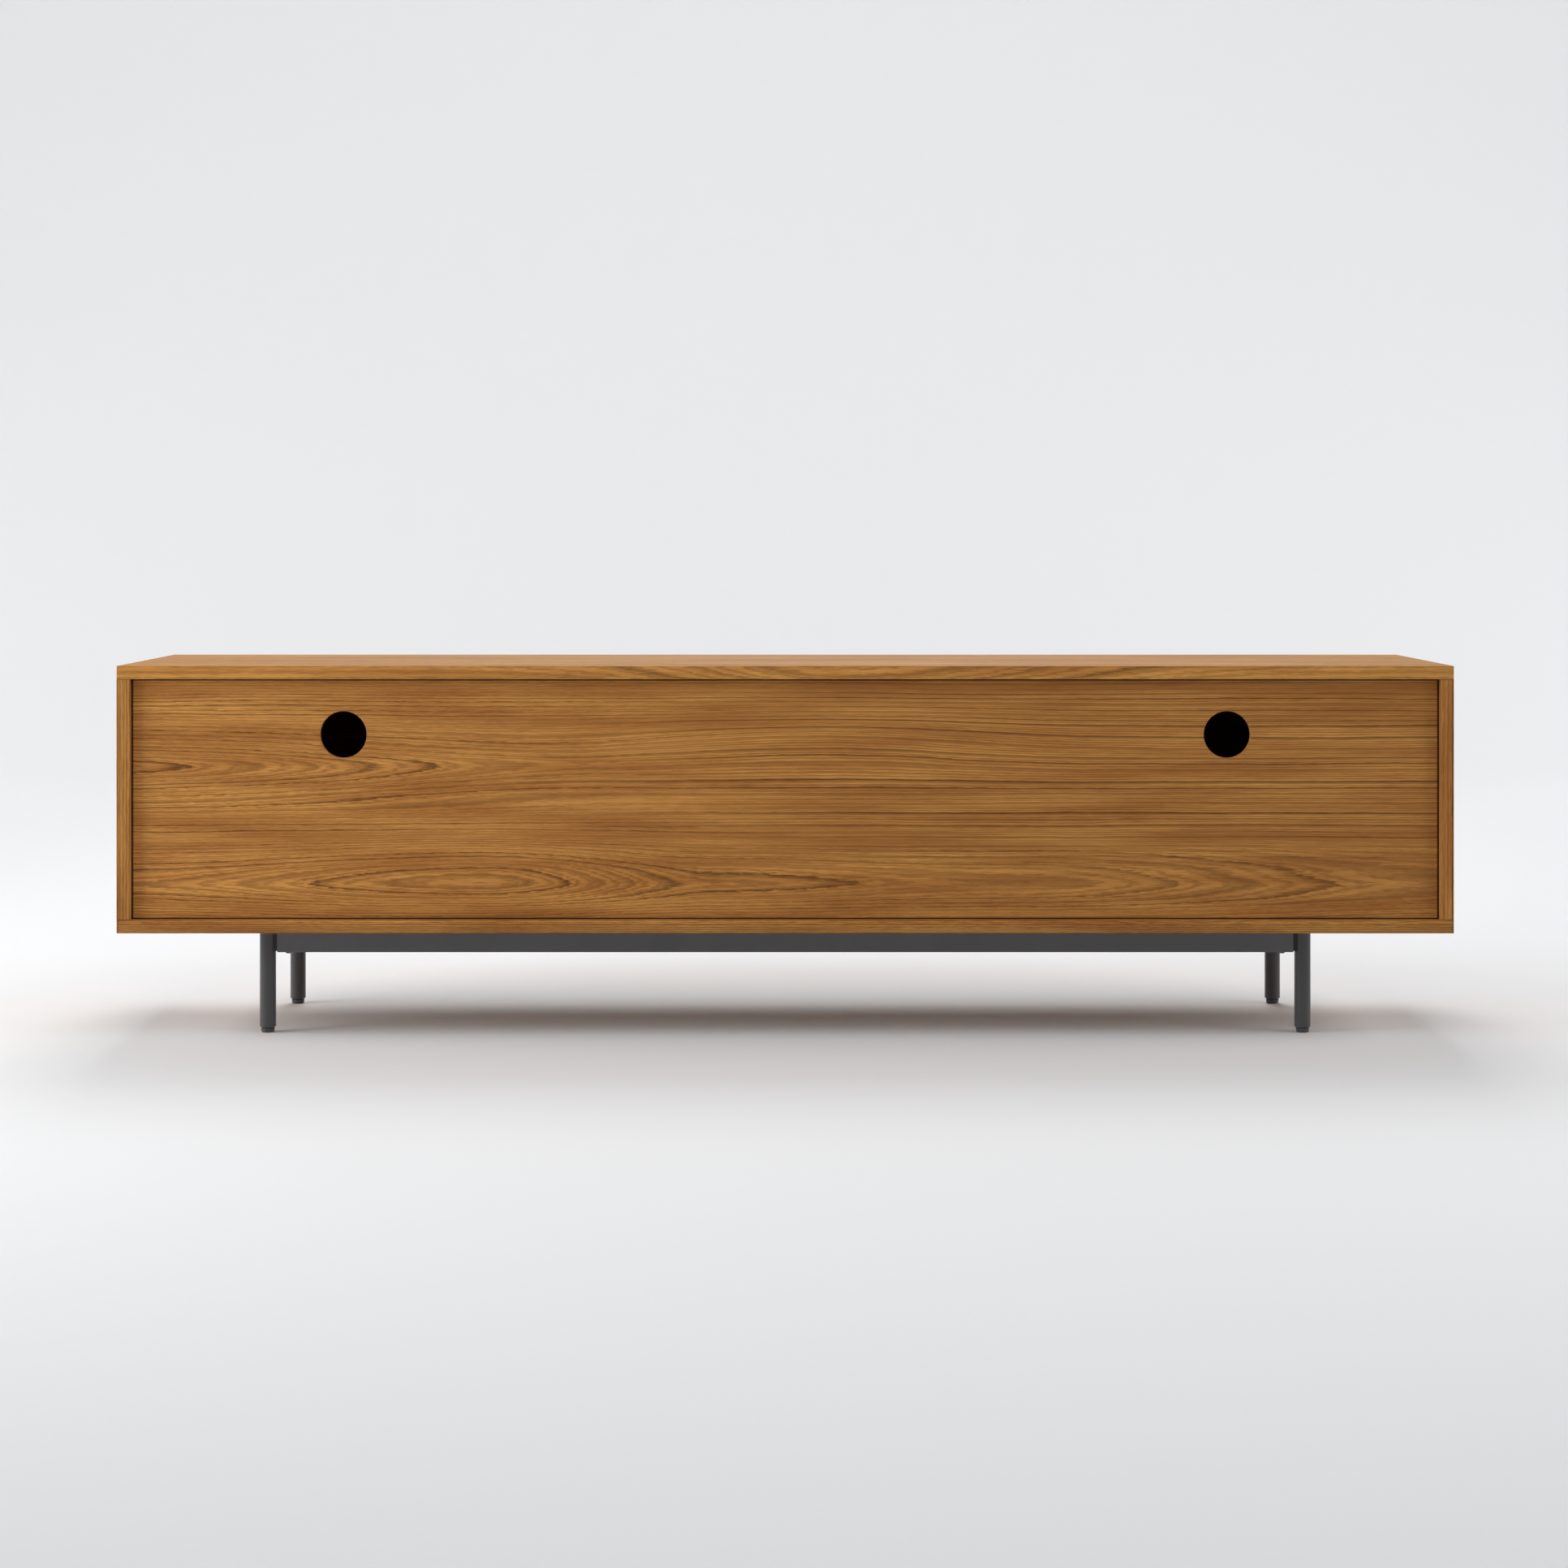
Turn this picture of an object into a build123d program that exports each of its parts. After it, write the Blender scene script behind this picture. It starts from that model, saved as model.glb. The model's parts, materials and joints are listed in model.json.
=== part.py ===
from build123d import *
import os

# Low media cabinet: an 1800 x 400 mm veneered case on a round-legged steel base.
#
# The case is a top and a bottom board with two sides and two dividers dowelled between
# them, and a grooved-in back with a round cable hole behind each outer bay. Each outer
# bay has an inset door on knife hinges and a shelf on pins. The middle bay has two
# drawers on ball-bearing slides. The base is two welded leg pairs joined by two long
# rails that slip over stubs. A screw foot under each leg levels the cabinet.
#
# Frame: millimetres, +Z up, the origin on the floor under the middle of the case.
# The front faces -Y, and left and right are those of a person facing the front.

# --- Driving dimensions: case -------------------------------------------------------
CASE_WIDTH = 1800.0
CASE_DEPTH = 400.0
CASE_HEIGHT = 360.0
BASE_HEIGHT = 143.0
BOARD = 18.0
EDGE_ROUND = 0.8
BACK_THICK = 8.0
BACK_RECESS = 10.0
GROOVE_DEPTH = 6.0
CABLE_HOLE_R = 31.5
CABLE_HOLE_X = 596.0
CABLE_HOLE_BELOW_TOP = 93.0
CABLE_HOLE_ROUND = 0.7
BAYS = 3

# --- Driving dimensions: fronts -----------------------------------------------------
FRONT_RECESS = 22.0
FRONT_THICK = 18.0
GAP_AT_SIDE = 2.5
GAP_AT_TOP = 2.0
GAP_BETWEEN = 3.0
DIVIDER_SETBACK = 2.0

# --- Driving dimensions: joinery and hardware ---------------------------------------
DOWEL_R = 3.95
DOWEL_HOLE_R = 4.0
DOWEL_LENGTH = 32.0
DOWEL_IN_BOARD = 12.0
DOWEL_END_PLAY = 0.5
DOWEL_CHAMFER = 0.8
DOWEL_ROWS_Y = (-140.0, 0.0, 140.0)

PIVOT_FROM_EDGE = 8.0
PIVOT_FROM_FACE = 5.0
LEAF_LENGTH = 58.0
LEAF_WIDTH = 8.0
LEAF_THICK = 2.5
LEAF_PLAY = 0.1
CASE_BOSS = 1.0
DOOR_BOSS = 0.8
HINGE_PIN_R = 1.5
HINGE_HOLE_R = 1.55
HINGE_PIN_DROP = 5.0
LEAF_SCREWS_FROM_PIVOT = (18.0, 40.0)
LEAF_SCREW_HEAD_R = 2.8
LEAF_SCREW_R = 1.5
LEAF_SCREW_LENGTH = 12.0
SCREW_PLAY = 0.1

MAGNET_R = 4.0
MAGNET_THICK = 3.0
MAGNET_PROUD = 1.7
MAGNET_FROM_DOOR_EDGE = 5.6
MAGNET_ROWS_FROM_MIDDLE = 120.0

KNOB_HEAD_R = 9.0
KNOB_NECK_R = 4.5
KNOB_BASE_R = 6.5
KNOB_PROJECTION = 18.0
KNOB_BASE_THICK = 1.2
KNOB_NECK_START = 5.0
KNOB_NECK_END = 8.0
KNOB_HEAD_START = 12.0
KNOB_BASE_SWEEP = 5.5
KNOB_HEAD_SWEEP = 6.5
KNOB_ROUND = 1.0
KNOB_STUD_R = 2.0
KNOB_STUD_LENGTH = 13.0
KNOB_FROM_DOOR_EDGE = 36.0

SHELF_DEPTH = 295.0
SHELF_SETBACK = 15.0
SHELF_END_PLAY = 1.0
PIN_R = 2.5
PIN_HOLE_R = 2.55
PIN_IN_BOARD = 9.0
PIN_OUT = 8.0
PIN_FROM_SHELF_END_Y = 40.0
PIN_PITCH = 32.0
PIN_HOLES_PER_ROW = 5

DRAWER_BOARD = 12.0
DRAWER_BOX_HEIGHT = 120.0
DRAWER_BOX_DEPTH = 300.0
DRAWER_BOX_ABOVE_FRONT = 16.0
DRAWER_BOTTOM_THICK = 6.0
DRAWER_BOTTOM_RISE = 10.0
DRAWER_GROOVE = 6.0
DRAWER_PLAY = 0.1
DRAWER_TOP_ROUND = 2.0

SLIDE_SPACE = 13.0
SLIDE_LENGTH = 300.0
SLIDE_METAL = 1.2
SLIDE_BALL = 3.2
SLIDE_CASE_REACH = 9.5
SLIDE_MIDDLE_START = 2.4
SLIDE_MIDDLE_REACH = 11.0
SLIDE_DRAWER_START = 4.8
SLIDE_HALF_HEIGHT = 22.5
SLIDE_FRONT_PLAY = 3.0
SLIDE_SCREWS_FROM_FRONT = (37.0, 260.0)
SLIDE_SCREW_HEAD_R = 3.2
SLIDE_SCREW_HEAD = 0.9
SLIDE_SCREW_R = 1.75
SLIDE_SCREW_LENGTH = 11.0

# --- Driving dimensions: base -------------------------------------------------------
LEG_X = 707.0
LEG_Y = 133.0
LEG_R = 11.0
TUBE_WALL = 1.5
LEG_END_CHAMFER = 1.2
FOOT_HEIGHT = 6.5
FOOT_GAP = 0.5
FOOT_TOP_R = 9.2
FOOT_SOLE_R = 8.4
FOOT_ROUND = 1.0
FOOT_SHOULDER = 1.0
STUD_PLAY = 0.05
STUD_CHAMFER = 1.0
STUD_R = 4.0
STUD_IN_FOOT = 4.0
STUD_TOP = 44.0
INSERT_LENGTH = 22.0
INSERT_UP = 1.5
INSERT_PLAY = 0.05
RAIL_HEIGHT = 30.0
RAIL_WIDTH = 20.0
CROSS_RAIL_WIDTH = 15.0
RAIL_CORNER_R = 1.5
RAIL_REVEAL = 3.0
STUB_LENGTH = 28.0
STUB_WIDTH = 16.0
STUB_PLAY = 0.2
WELD_PLAY = 0.05
PLATE_THICK = 3.0
PLATE_LENGTH = 74.0
PLATE_WIDTH = 58.0
PLATE_CORNER = 18.0
PLATE_CORNER_R = 3.0
PLATE_SCREWS = ((24.0, 24.0), (24.0, 46.0), (58.0, 24.0))
PLATE_SCREW_HEAD_R = 4.0
PLATE_SCREW_HEAD = 2.4
PLATE_SCREW_R = 2.0
PLATE_SCREW_LENGTH = 16.0
RAIL_SCREW_IN = 14.0

# --- Derived places -----------------------------------------------------------------
SIDES = {"left": -1, "right": 1}
TOP_Z = BASE_HEIGHT + CASE_HEIGHT
INNER_LOW = BASE_HEIGHT + BOARD
INNER_HIGH = TOP_Z - BOARD
INNER_MID = (INNER_LOW + INNER_HIGH) / 2
INNER_HEIGHT = INNER_HIGH - INNER_LOW
INNER_X = CASE_WIDTH / 2 - BOARD
BAY_WIDTH = (2 * INNER_X - (BAYS - 1) * BOARD) / BAYS
DIVIDER_X = (BAY_WIDTH + BOARD) / 2
SIDE_X = (CASE_WIDTH - BOARD) / 2
FRONT_Y = -CASE_DEPTH / 2
REAR_Y = CASE_DEPTH / 2
FACE_Y = FRONT_Y + FRONT_RECESS
FACE_BACK_Y = FACE_Y + FRONT_THICK
BACK_OUT_Y = REAR_Y - BACK_RECESS
BACK_IN_Y = BACK_OUT_Y - BACK_THICK
DIVIDER_FRONT_Y = FACE_BACK_Y + DIVIDER_SETBACK
DIVIDER_DEPTH = BACK_IN_Y - DIVIDER_FRONT_Y
DIVIDER_MID_Y = (BACK_IN_Y + DIVIDER_FRONT_Y) / 2
FRONT_WIDTH = (2 * INNER_X - 2 * GAP_AT_SIDE - (BAYS - 1) * GAP_BETWEEN) / BAYS
DOOR_HEIGHT = INNER_HEIGHT - 2 * GAP_AT_TOP
DOOR_X = INNER_X - GAP_AT_SIDE - FRONT_WIDTH / 2
DOOR_LOW = INNER_LOW + GAP_AT_TOP
DOOR_HIGH = INNER_HIGH - GAP_AT_TOP
DRAWER_FRONT_HEIGHT = (DOOR_HEIGHT - GAP_BETWEEN) / 2
DRAWERS = {"lower": DOOR_LOW, "upper": DOOR_LOW + DRAWER_FRONT_HEIGHT + GAP_BETWEEN}
KNOB_DOOR_Z = DRAWERS["upper"] + DRAWER_FRONT_HEIGHT / 2

PIVOT_X = INNER_X - GAP_AT_SIDE - PIVOT_FROM_EDGE
PIVOT_Y = FACE_Y + PIVOT_FROM_FACE
LEAF_MID_X = PIVOT_X - (LEAF_LENGTH - LEAF_WIDTH) / 2
MAGNET_X = DOOR_X - FRONT_WIDTH / 2 + MAGNET_FROM_DOOR_EDGE

SHELF_X = (INNER_X + DIVIDER_X + BOARD / 2) / 2
SHELF_FRONT_Y = FACE_BACK_Y + SHELF_SETBACK
SHELF_MID_Y = SHELF_FRONT_Y + SHELF_DEPTH / 2
SHELF_LOW = INNER_MID - BOARD / 2
PIN_Z = SHELF_LOW - PIN_R
PIN_ROWS_Y = (
    SHELF_FRONT_Y + PIN_FROM_SHELF_END_Y,
    SHELF_FRONT_Y + SHELF_DEPTH - PIN_FROM_SHELF_END_Y,
)
PIN_ROWS_MID_Y = sum(PIN_ROWS_Y) / 2
PIN_ROWS_APART = PIN_ROWS_Y[1] - PIN_ROWS_Y[0]

DIVIDER_FACE_X = DIVIDER_X - BOARD / 2
DRAWER_HALF = DIVIDER_FACE_X - SLIDE_SPACE
DRAWER_INNER_HALF = DRAWER_HALF - DRAWER_BOARD
SLIDE_FRONT_Y = FACE_BACK_Y + SLIDE_FRONT_PLAY
SLIDE_STEP = SLIDE_METAL + SLIDE_BALL

LEG_LOW = FOOT_HEIGHT + FOOT_GAP
FRAME_TOP = BASE_HEIGHT - PLATE_THICK
RAIL_LOW = FRAME_TOP - RAIL_HEIGHT
RAIL_MID_Z = FRAME_TOP - RAIL_HEIGHT / 2
RAIL_HALF = LEG_X - LEG_R - RAIL_REVEAL
STUB_HEIGHT = RAIL_HEIGHT - 2 * TUBE_WALL - 2 * STUB_PLAY
RAIL_SCREW_X = RAIL_HALF - RAIL_SCREW_IN
CORNERS = {
    "front_left": (-1, -1),
    "front_right": (1, -1),
    "rear_left": (-1, 1),
    "rear_right": (1, 1),
}

DOWEL_SPOTS = [
    (x, y)
    for x in (-SIDE_X, -DIVIDER_X, DIVIDER_X, SIDE_X)
    for y in DOWEL_ROWS_Y
]
PLATE_SCREW_SPOTS = [
    (sx * (LEG_X - dx), sy * (LEG_Y - dy))
    for sx, sy in CORNERS.values()
    for dx, dy in PLATE_SCREWS
]
LEAF_SCREW_SPOTS = [
    (side * (PIVOT_X - along), PIVOT_Y)
    for side in SIDES.values()
    for along in LEAF_SCREWS_FROM_PIVOT
]
MAGNET_ROWS = (INNER_MID - MAGNET_ROWS_FROM_MIDDLE, INNER_MID + MAGNET_ROWS_FROM_MIDDLE)

os.makedirs("parts", exist_ok=True)


def save(piece, name):
    """Label a finished piece and write it as the node of that name."""
    piece.label = name
    export_step(piece, f"parts/{name}.step")


def mirrored_in_height(piece):
    """A piece together with its twin, mirrored about the middle height of the case."""
    with BuildPart() as pair:
        add(piece)
        mirror(piece, about=Plane.XY.offset(INNER_MID))
    return pair.part


# --- Loose screws, each standing at the origin with its head up and its tip down -----
def countersunk_screw(head_r, shank_r, length):
    """A flat-head wood screw whose head is flush with z = 0."""
    head = head_r - shank_r
    with BuildPart() as screw:
        with BuildSketch(Plane.XZ):
            with BuildLine():
                Polyline(
                    (0, 0),
                    (head_r, 0),
                    (shank_r, -head),
                    (shank_r, -length + 2 * shank_r),
                    (0, -length),
                    close=True,
                )
            make_face()
        revolve(axis=Axis.Z)
        with BuildSketch():
            Rectangle(1.3 * head_r, 0.3 * head_r)
            Rectangle(0.3 * head_r, 1.3 * head_r)
        extrude(amount=-0.6 * head, taper=12, mode=Mode.SUBTRACT)
    return screw.part


def pan_head_screw(head_r, head, shank_r, length):
    """A pan-head screw whose head stands on z = 0 with its shank below."""
    with BuildPart() as screw:
        Cylinder(head_r, head, align=(Align.CENTER, Align.CENTER, Align.MIN))
        fillet(screw.edges().filter_by(GeomType.CIRCLE).sort_by(Axis.Z)[-1], 0.6 * head)
        with BuildSketch(Plane.XY.offset(head)):
            Rectangle(1.1 * head_r, 0.28 * head_r)
            Rectangle(0.28 * head_r, 1.1 * head_r)
        extrude(amount=-0.6 * head, mode=Mode.SUBTRACT)
        with BuildSketch():
            Circle(shank_r)
        extrude(amount=-length)
        chamfer(screw.edges().filter_by(GeomType.CIRCLE).sort_by(Axis.Z)[0], shank_r / 2)
    return screw.part


LEAF_SCREW = countersunk_screw(LEAF_SCREW_HEAD_R, LEAF_SCREW_R, LEAF_SCREW_LENGTH)
SLIDE_SCREW = pan_head_screw(
    SLIDE_SCREW_HEAD_R, SLIDE_SCREW_HEAD, SLIDE_SCREW_R, SLIDE_SCREW_LENGTH
)
PLATE_SCREW = pan_head_screw(
    PLATE_SCREW_HEAD_R, PLATE_SCREW_HEAD, PLATE_SCREW_R, PLATE_SCREW_LENGTH
)

# --- Case: top and bottom boards ----------------------------------------------------
with BuildPart() as top_panel:
    with BuildSketch(Plane.XY.offset(INNER_HIGH)):
        Rectangle(CASE_WIDTH, CASE_DEPTH)
    extrude(amount=BOARD)
    fillet(top_panel.edges(), EDGE_ROUND)
    # Blind dowel holes over the sides and dividers.
    with BuildSketch(Plane.XY.offset(INNER_HIGH)):
        with Locations(*DOWEL_SPOTS):
            Circle(DOWEL_HOLE_R)
    extrude(amount=DOWEL_IN_BOARD + DOWEL_END_PLAY, mode=Mode.SUBTRACT)
    # Groove that takes the upper edge of the back.
    with BuildSketch(Plane.XY.offset(INNER_HIGH)):
        with Locations((0, (BACK_IN_Y + BACK_OUT_Y) / 2)):
            Rectangle(2 * (INNER_X + GROOVE_DEPTH), BACK_THICK)
    extrude(amount=GROOVE_DEPTH, mode=Mode.SUBTRACT)
    # Mortises of the upper hinge leaves, with their pilot holes.
    with BuildSketch(Plane.XY.offset(INNER_HIGH)):
        with Locations((-LEAF_MID_X, PIVOT_Y), (LEAF_MID_X, PIVOT_Y)):
            SlotOverall(LEAF_LENGTH + 2 * LEAF_PLAY, LEAF_WIDTH + 2 * LEAF_PLAY)
    extrude(amount=LEAF_THICK, mode=Mode.SUBTRACT)
    with BuildSketch(Plane.XY.offset(INNER_HIGH)):
        with Locations(*LEAF_SCREW_SPOTS):
            Circle(LEAF_SCREW_R + SCREW_PLAY)
    extrude(amount=LEAF_SCREW_LENGTH + DOWEL_END_PLAY, mode=Mode.SUBTRACT)
save(top_panel.part, "top_panel")

with BuildPart() as bottom_panel:
    mirror(top_panel.part, about=Plane.XY.offset(INNER_MID))
    # Pilot holes for the screws of the base plates.
    with BuildSketch(Plane.XY.offset(BASE_HEIGHT)):
        with Locations(*PLATE_SCREW_SPOTS):
            Circle(PLATE_SCREW_R + SCREW_PLAY)
    extrude(amount=PLATE_SCREW_LENGTH - PLATE_THICK + DOWEL_END_PLAY, mode=Mode.SUBTRACT)
save(bottom_panel.part, "bottom_panel")

# --- Case: sides and dividers -------------------------------------------------------
for name, side in SIDES.items():
    with BuildPart() as side_panel:
        with BuildSketch(Plane.XY.offset(INNER_LOW)):
            with Locations((side * SIDE_X, 0)):
                Rectangle(BOARD, CASE_DEPTH)
        extrude(amount=INNER_HEIGHT)
        fillet(side_panel.edges(), EDGE_ROUND / 2)
        for end_z, inward in ((INNER_LOW, 1), (INNER_HIGH, -1)):
            with BuildSketch(Plane.XY.offset(end_z)):
                with Locations(*[(side * SIDE_X, y) for y in DOWEL_ROWS_Y]):
                    Circle(DOWEL_HOLE_R)
            extrude(
                amount=inward * (DOWEL_LENGTH - DOWEL_IN_BOARD + DOWEL_END_PLAY),
                mode=Mode.SUBTRACT,
            )
        with BuildSketch(Plane.XY.offset(INNER_LOW)):
            with Locations(
                (side * (INNER_X + GROOVE_DEPTH / 2), (BACK_IN_Y + BACK_OUT_Y) / 2)
            ):
                Rectangle(GROOVE_DEPTH, BACK_THICK)
        extrude(amount=INNER_HEIGHT, mode=Mode.SUBTRACT)
        with BuildSketch(Plane.YZ.offset(side * INNER_X)):
            with Locations((PIN_ROWS_MID_Y, PIN_Z)):
                with GridLocations(PIN_ROWS_APART, PIN_PITCH, 2, PIN_HOLES_PER_ROW):
                    Circle(PIN_HOLE_R)
        extrude(amount=side * (PIN_IN_BOARD + DOWEL_END_PLAY), mode=Mode.SUBTRACT)
    save(side_panel.part, f"{name}_side_panel")

    with BuildPart() as divider:
        with BuildSketch(Plane.XY.offset(INNER_LOW)):
            with Locations((side * DIVIDER_X, DIVIDER_MID_Y)):
                Rectangle(BOARD, DIVIDER_DEPTH)
        extrude(amount=INNER_HEIGHT)
        fillet(divider.edges().filter_by(Axis.Z).group_by(Axis.Y)[0], EDGE_ROUND / 2)
        for end_z, inward in ((INNER_LOW, 1), (INNER_HIGH, -1)):
            with BuildSketch(Plane.XY.offset(end_z)):
                with Locations(*[(side * DIVIDER_X, y) for y in DOWEL_ROWS_Y]):
                    Circle(DOWEL_HOLE_R)
            extrude(
                amount=inward * (DOWEL_LENGTH - DOWEL_IN_BOARD + DOWEL_END_PLAY),
                mode=Mode.SUBTRACT,
            )
        # Shelf-pin holes on the door side, slide-screw holes on the drawer side.
        with BuildSketch(Plane.YZ.offset(side * (DIVIDER_X + BOARD / 2))):
            with Locations((PIN_ROWS_MID_Y, PIN_Z)):
                with GridLocations(PIN_ROWS_APART, PIN_PITCH, 2, PIN_HOLES_PER_ROW):
                    Circle(PIN_HOLE_R)
        extrude(amount=-side * (PIN_IN_BOARD - PIN_R), mode=Mode.SUBTRACT)
        with BuildSketch(Plane.YZ.offset(side * DIVIDER_FACE_X)):
            with Locations(
                *[
                    (SLIDE_FRONT_Y + along, low + DRAWER_BOX_ABOVE_FRONT + DRAWER_BOX_HEIGHT / 2)
                    for low in DRAWERS.values()
                    for along in SLIDE_SCREWS_FROM_FRONT
                ]
            ):
                Circle(SLIDE_SCREW_R + SCREW_PLAY)
        extrude(amount=side * (SLIDE_SCREW_LENGTH - SLIDE_METAL), mode=Mode.SUBTRACT)
        # Seats of the magnets that hold the door shut.
        with BuildSketch(Plane.XZ.offset(-DIVIDER_FRONT_Y)):
            with Locations(*[(side * MAGNET_X, z) for z in MAGNET_ROWS]):
                Circle(MAGNET_R + SCREW_PLAY)
        extrude(amount=-MAGNET_THICK, mode=Mode.SUBTRACT)
    save(divider.part, f"{name}_divider")

# --- Case: back with its cable holes ------------------------------------------------
with BuildPart() as back_panel:
    with BuildSketch(Plane.XZ.offset(-BACK_OUT_Y)):
        with Locations((0, INNER_MID)):
            Rectangle(2 * (INNER_X + GROOVE_DEPTH), INNER_HEIGHT + 2 * GROOVE_DEPTH)
        with Locations(
            (-CABLE_HOLE_X, TOP_Z - CABLE_HOLE_BELOW_TOP),
            (CABLE_HOLE_X, TOP_Z - CABLE_HOLE_BELOW_TOP),
        ):
            Circle(CABLE_HOLE_R, mode=Mode.SUBTRACT)
    extrude(amount=BACK_THICK)
    fillet(back_panel.edges().filter_by(GeomType.CIRCLE), CABLE_HOLE_ROUND)
save(back_panel.part, "back_panel")

# --- Case: dowels -------------------------------------------------------------------
with BuildPart() as case_dowels:
    for low in (
        INNER_LOW - DOWEL_IN_BOARD,
        INNER_HIGH + DOWEL_IN_BOARD - DOWEL_LENGTH,
    ):
        with Locations(*[(x, y, low) for x, y in DOWEL_SPOTS]):
            Cylinder(
                DOWEL_R, DOWEL_LENGTH, align=(Align.CENTER, Align.CENTER, Align.MIN)
            )
    chamfer(case_dowels.edges().filter_by(GeomType.CIRCLE), DOWEL_CHAMFER)
save(case_dowels.part, "case_dowels")

# --- Shelves and their pins ---------------------------------------------------------
for name, side in SIDES.items():
    with BuildPart() as shelf:
        with BuildSketch(Plane.XY.offset(SHELF_LOW)):
            with Locations((side * SHELF_X, SHELF_MID_Y)):
                Rectangle(BAY_WIDTH - 2 * SHELF_END_PLAY, SHELF_DEPTH)
        extrude(amount=BOARD)
        fillet(shelf.edges(), EDGE_ROUND / 2)
    save(shelf.part, f"{name}_shelf")

with BuildPart() as shelf_pins:
    for side in SIDES.values():
        for wall_x, outward in (
            (side * INNER_X, side),
            (side * (DIVIDER_X + BOARD / 2), -side),
        ):
            depth = PIN_IN_BOARD if outward == side else PIN_IN_BOARD - PIN_R - DOWEL_END_PLAY
            with BuildSketch(Plane.YZ.offset(wall_x + outward * depth)):
                with Locations(*[(y, PIN_Z) for y in PIN_ROWS_Y]):
                    Circle(PIN_R)
            extrude(amount=-outward * (depth + PIN_OUT))
save(shelf_pins.part, "shelf_pins")

# --- Knife hinges -------------------------------------------------------------------
with BuildPart() as case_hinge_leaf:
    with BuildSketch(Plane.XY.offset(INNER_HIGH)):
        with Locations((LEAF_MID_X, PIVOT_Y)):
            SlotOverall(LEAF_LENGTH, LEAF_WIDTH)
    extrude(amount=LEAF_THICK)
    with BuildSketch(Plane.XY.offset(INNER_HIGH)):
        with Locations((PIVOT_X, PIVOT_Y)):
            Circle(LEAF_WIDTH / 2)
    extrude(amount=-CASE_BOSS)
    with BuildSketch(Plane.XY.offset(INNER_HIGH)):
        with Locations((PIVOT_X, PIVOT_Y)):
            Circle(HINGE_PIN_R)
    extrude(amount=-HINGE_PIN_DROP)
    for along in LEAF_SCREWS_FROM_PIVOT:
        with Locations(Location((PIVOT_X - along, PIVOT_Y, INNER_HIGH), (180, 0, 0))):
            CounterSinkHole(LEAF_SCREW_R + SCREW_PLAY, LEAF_SCREW_HEAD_R + SCREW_PLAY)

with BuildPart() as case_hinge_leaves:
    add(mirrored_in_height(case_hinge_leaf.part))
    mirror(mirrored_in_height(case_hinge_leaf.part), about=Plane.YZ)
save(case_hinge_leaves.part, "case_hinge_leaves")

with BuildPart() as door_hinge_leaf:
    with BuildSketch(Plane.XY.offset(DOOR_HIGH - LEAF_THICK)):
        with Locations((LEAF_MID_X, PIVOT_Y)):
            SlotOverall(LEAF_LENGTH, LEAF_WIDTH)
    extrude(amount=LEAF_THICK)
    with BuildSketch(Plane.XY.offset(DOOR_HIGH)):
        with Locations((PIVOT_X, PIVOT_Y)):
            Circle(LEAF_WIDTH / 2)
    extrude(amount=DOOR_BOSS)
    with Locations((PIVOT_X, PIVOT_Y, DOOR_HIGH + DOOR_BOSS)):
        Hole(HINGE_HOLE_R)
    for along in LEAF_SCREWS_FROM_PIVOT:
        with Locations((PIVOT_X - along, PIVOT_Y, DOOR_HIGH)):
            CounterSinkHole(LEAF_SCREW_R + SCREW_PLAY, LEAF_SCREW_HEAD_R + SCREW_PLAY)

# --- Magnets and screws that belong to the case -------------------------------------
with BuildPart() as case_magnets:
    # Each stands proud of the divider, where it is also the door's stop.
    with BuildSketch(Plane.XZ.offset(MAGNET_PROUD - DIVIDER_FRONT_Y)):
        with Locations(*[(sx * MAGNET_X, z) for sx in SIDES.values() for z in MAGNET_ROWS]):
            Circle(MAGNET_R)
    extrude(amount=-(MAGNET_THICK + MAGNET_PROUD))
save(case_magnets.part, "case_magnets")

with BuildPart() as case_hinge_screws:
    with Locations(*[Location((x, y, INNER_HIGH), (180, 0, 0)) for x, y in LEAF_SCREW_SPOTS]):
        add(LEAF_SCREW)
    with Locations(*[(x, y, INNER_LOW) for x, y in LEAF_SCREW_SPOTS]):
        add(LEAF_SCREW)
save(case_hinge_screws.part, "case_hinge_screws")

# --- Doors, each with its knob, hinge leaves, screws and magnet plates ---------------
with BuildPart() as knob:
    with BuildSketch(Plane.XZ):
        with BuildLine():
            Polyline(
                (0, -KNOB_STUD_LENGTH),
                (KNOB_STUD_R, -KNOB_STUD_LENGTH + KNOB_STUD_R),
                (KNOB_STUD_R, 0),
                (KNOB_BASE_R, 0),
                (KNOB_BASE_R, KNOB_BASE_THICK),
            )
            RadiusArc(
                (KNOB_BASE_R, KNOB_BASE_THICK), (KNOB_NECK_R, KNOB_NECK_START), KNOB_BASE_SWEEP
            )
            Line((KNOB_NECK_R, KNOB_NECK_START), (KNOB_NECK_R, KNOB_NECK_END))
            RadiusArc(
                (KNOB_NECK_R, KNOB_NECK_END), (KNOB_HEAD_R, KNOB_HEAD_START), KNOB_HEAD_SWEEP
            )
            Polyline(
                (KNOB_HEAD_R, KNOB_HEAD_START),
                (KNOB_HEAD_R, KNOB_PROJECTION),
                (0, KNOB_PROJECTION),
                (0, -KNOB_STUD_LENGTH),
            )
        make_face()
    revolve(axis=Axis.Z)
    fillet(knob.edges().filter_by(GeomType.CIRCLE).sort_by(Axis.Z)[-1], KNOB_ROUND)
# The knob turned to stand out of a front, towards -Y.
FRONT_KNOB = knob.part.rotate(Axis.X, 90)

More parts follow.
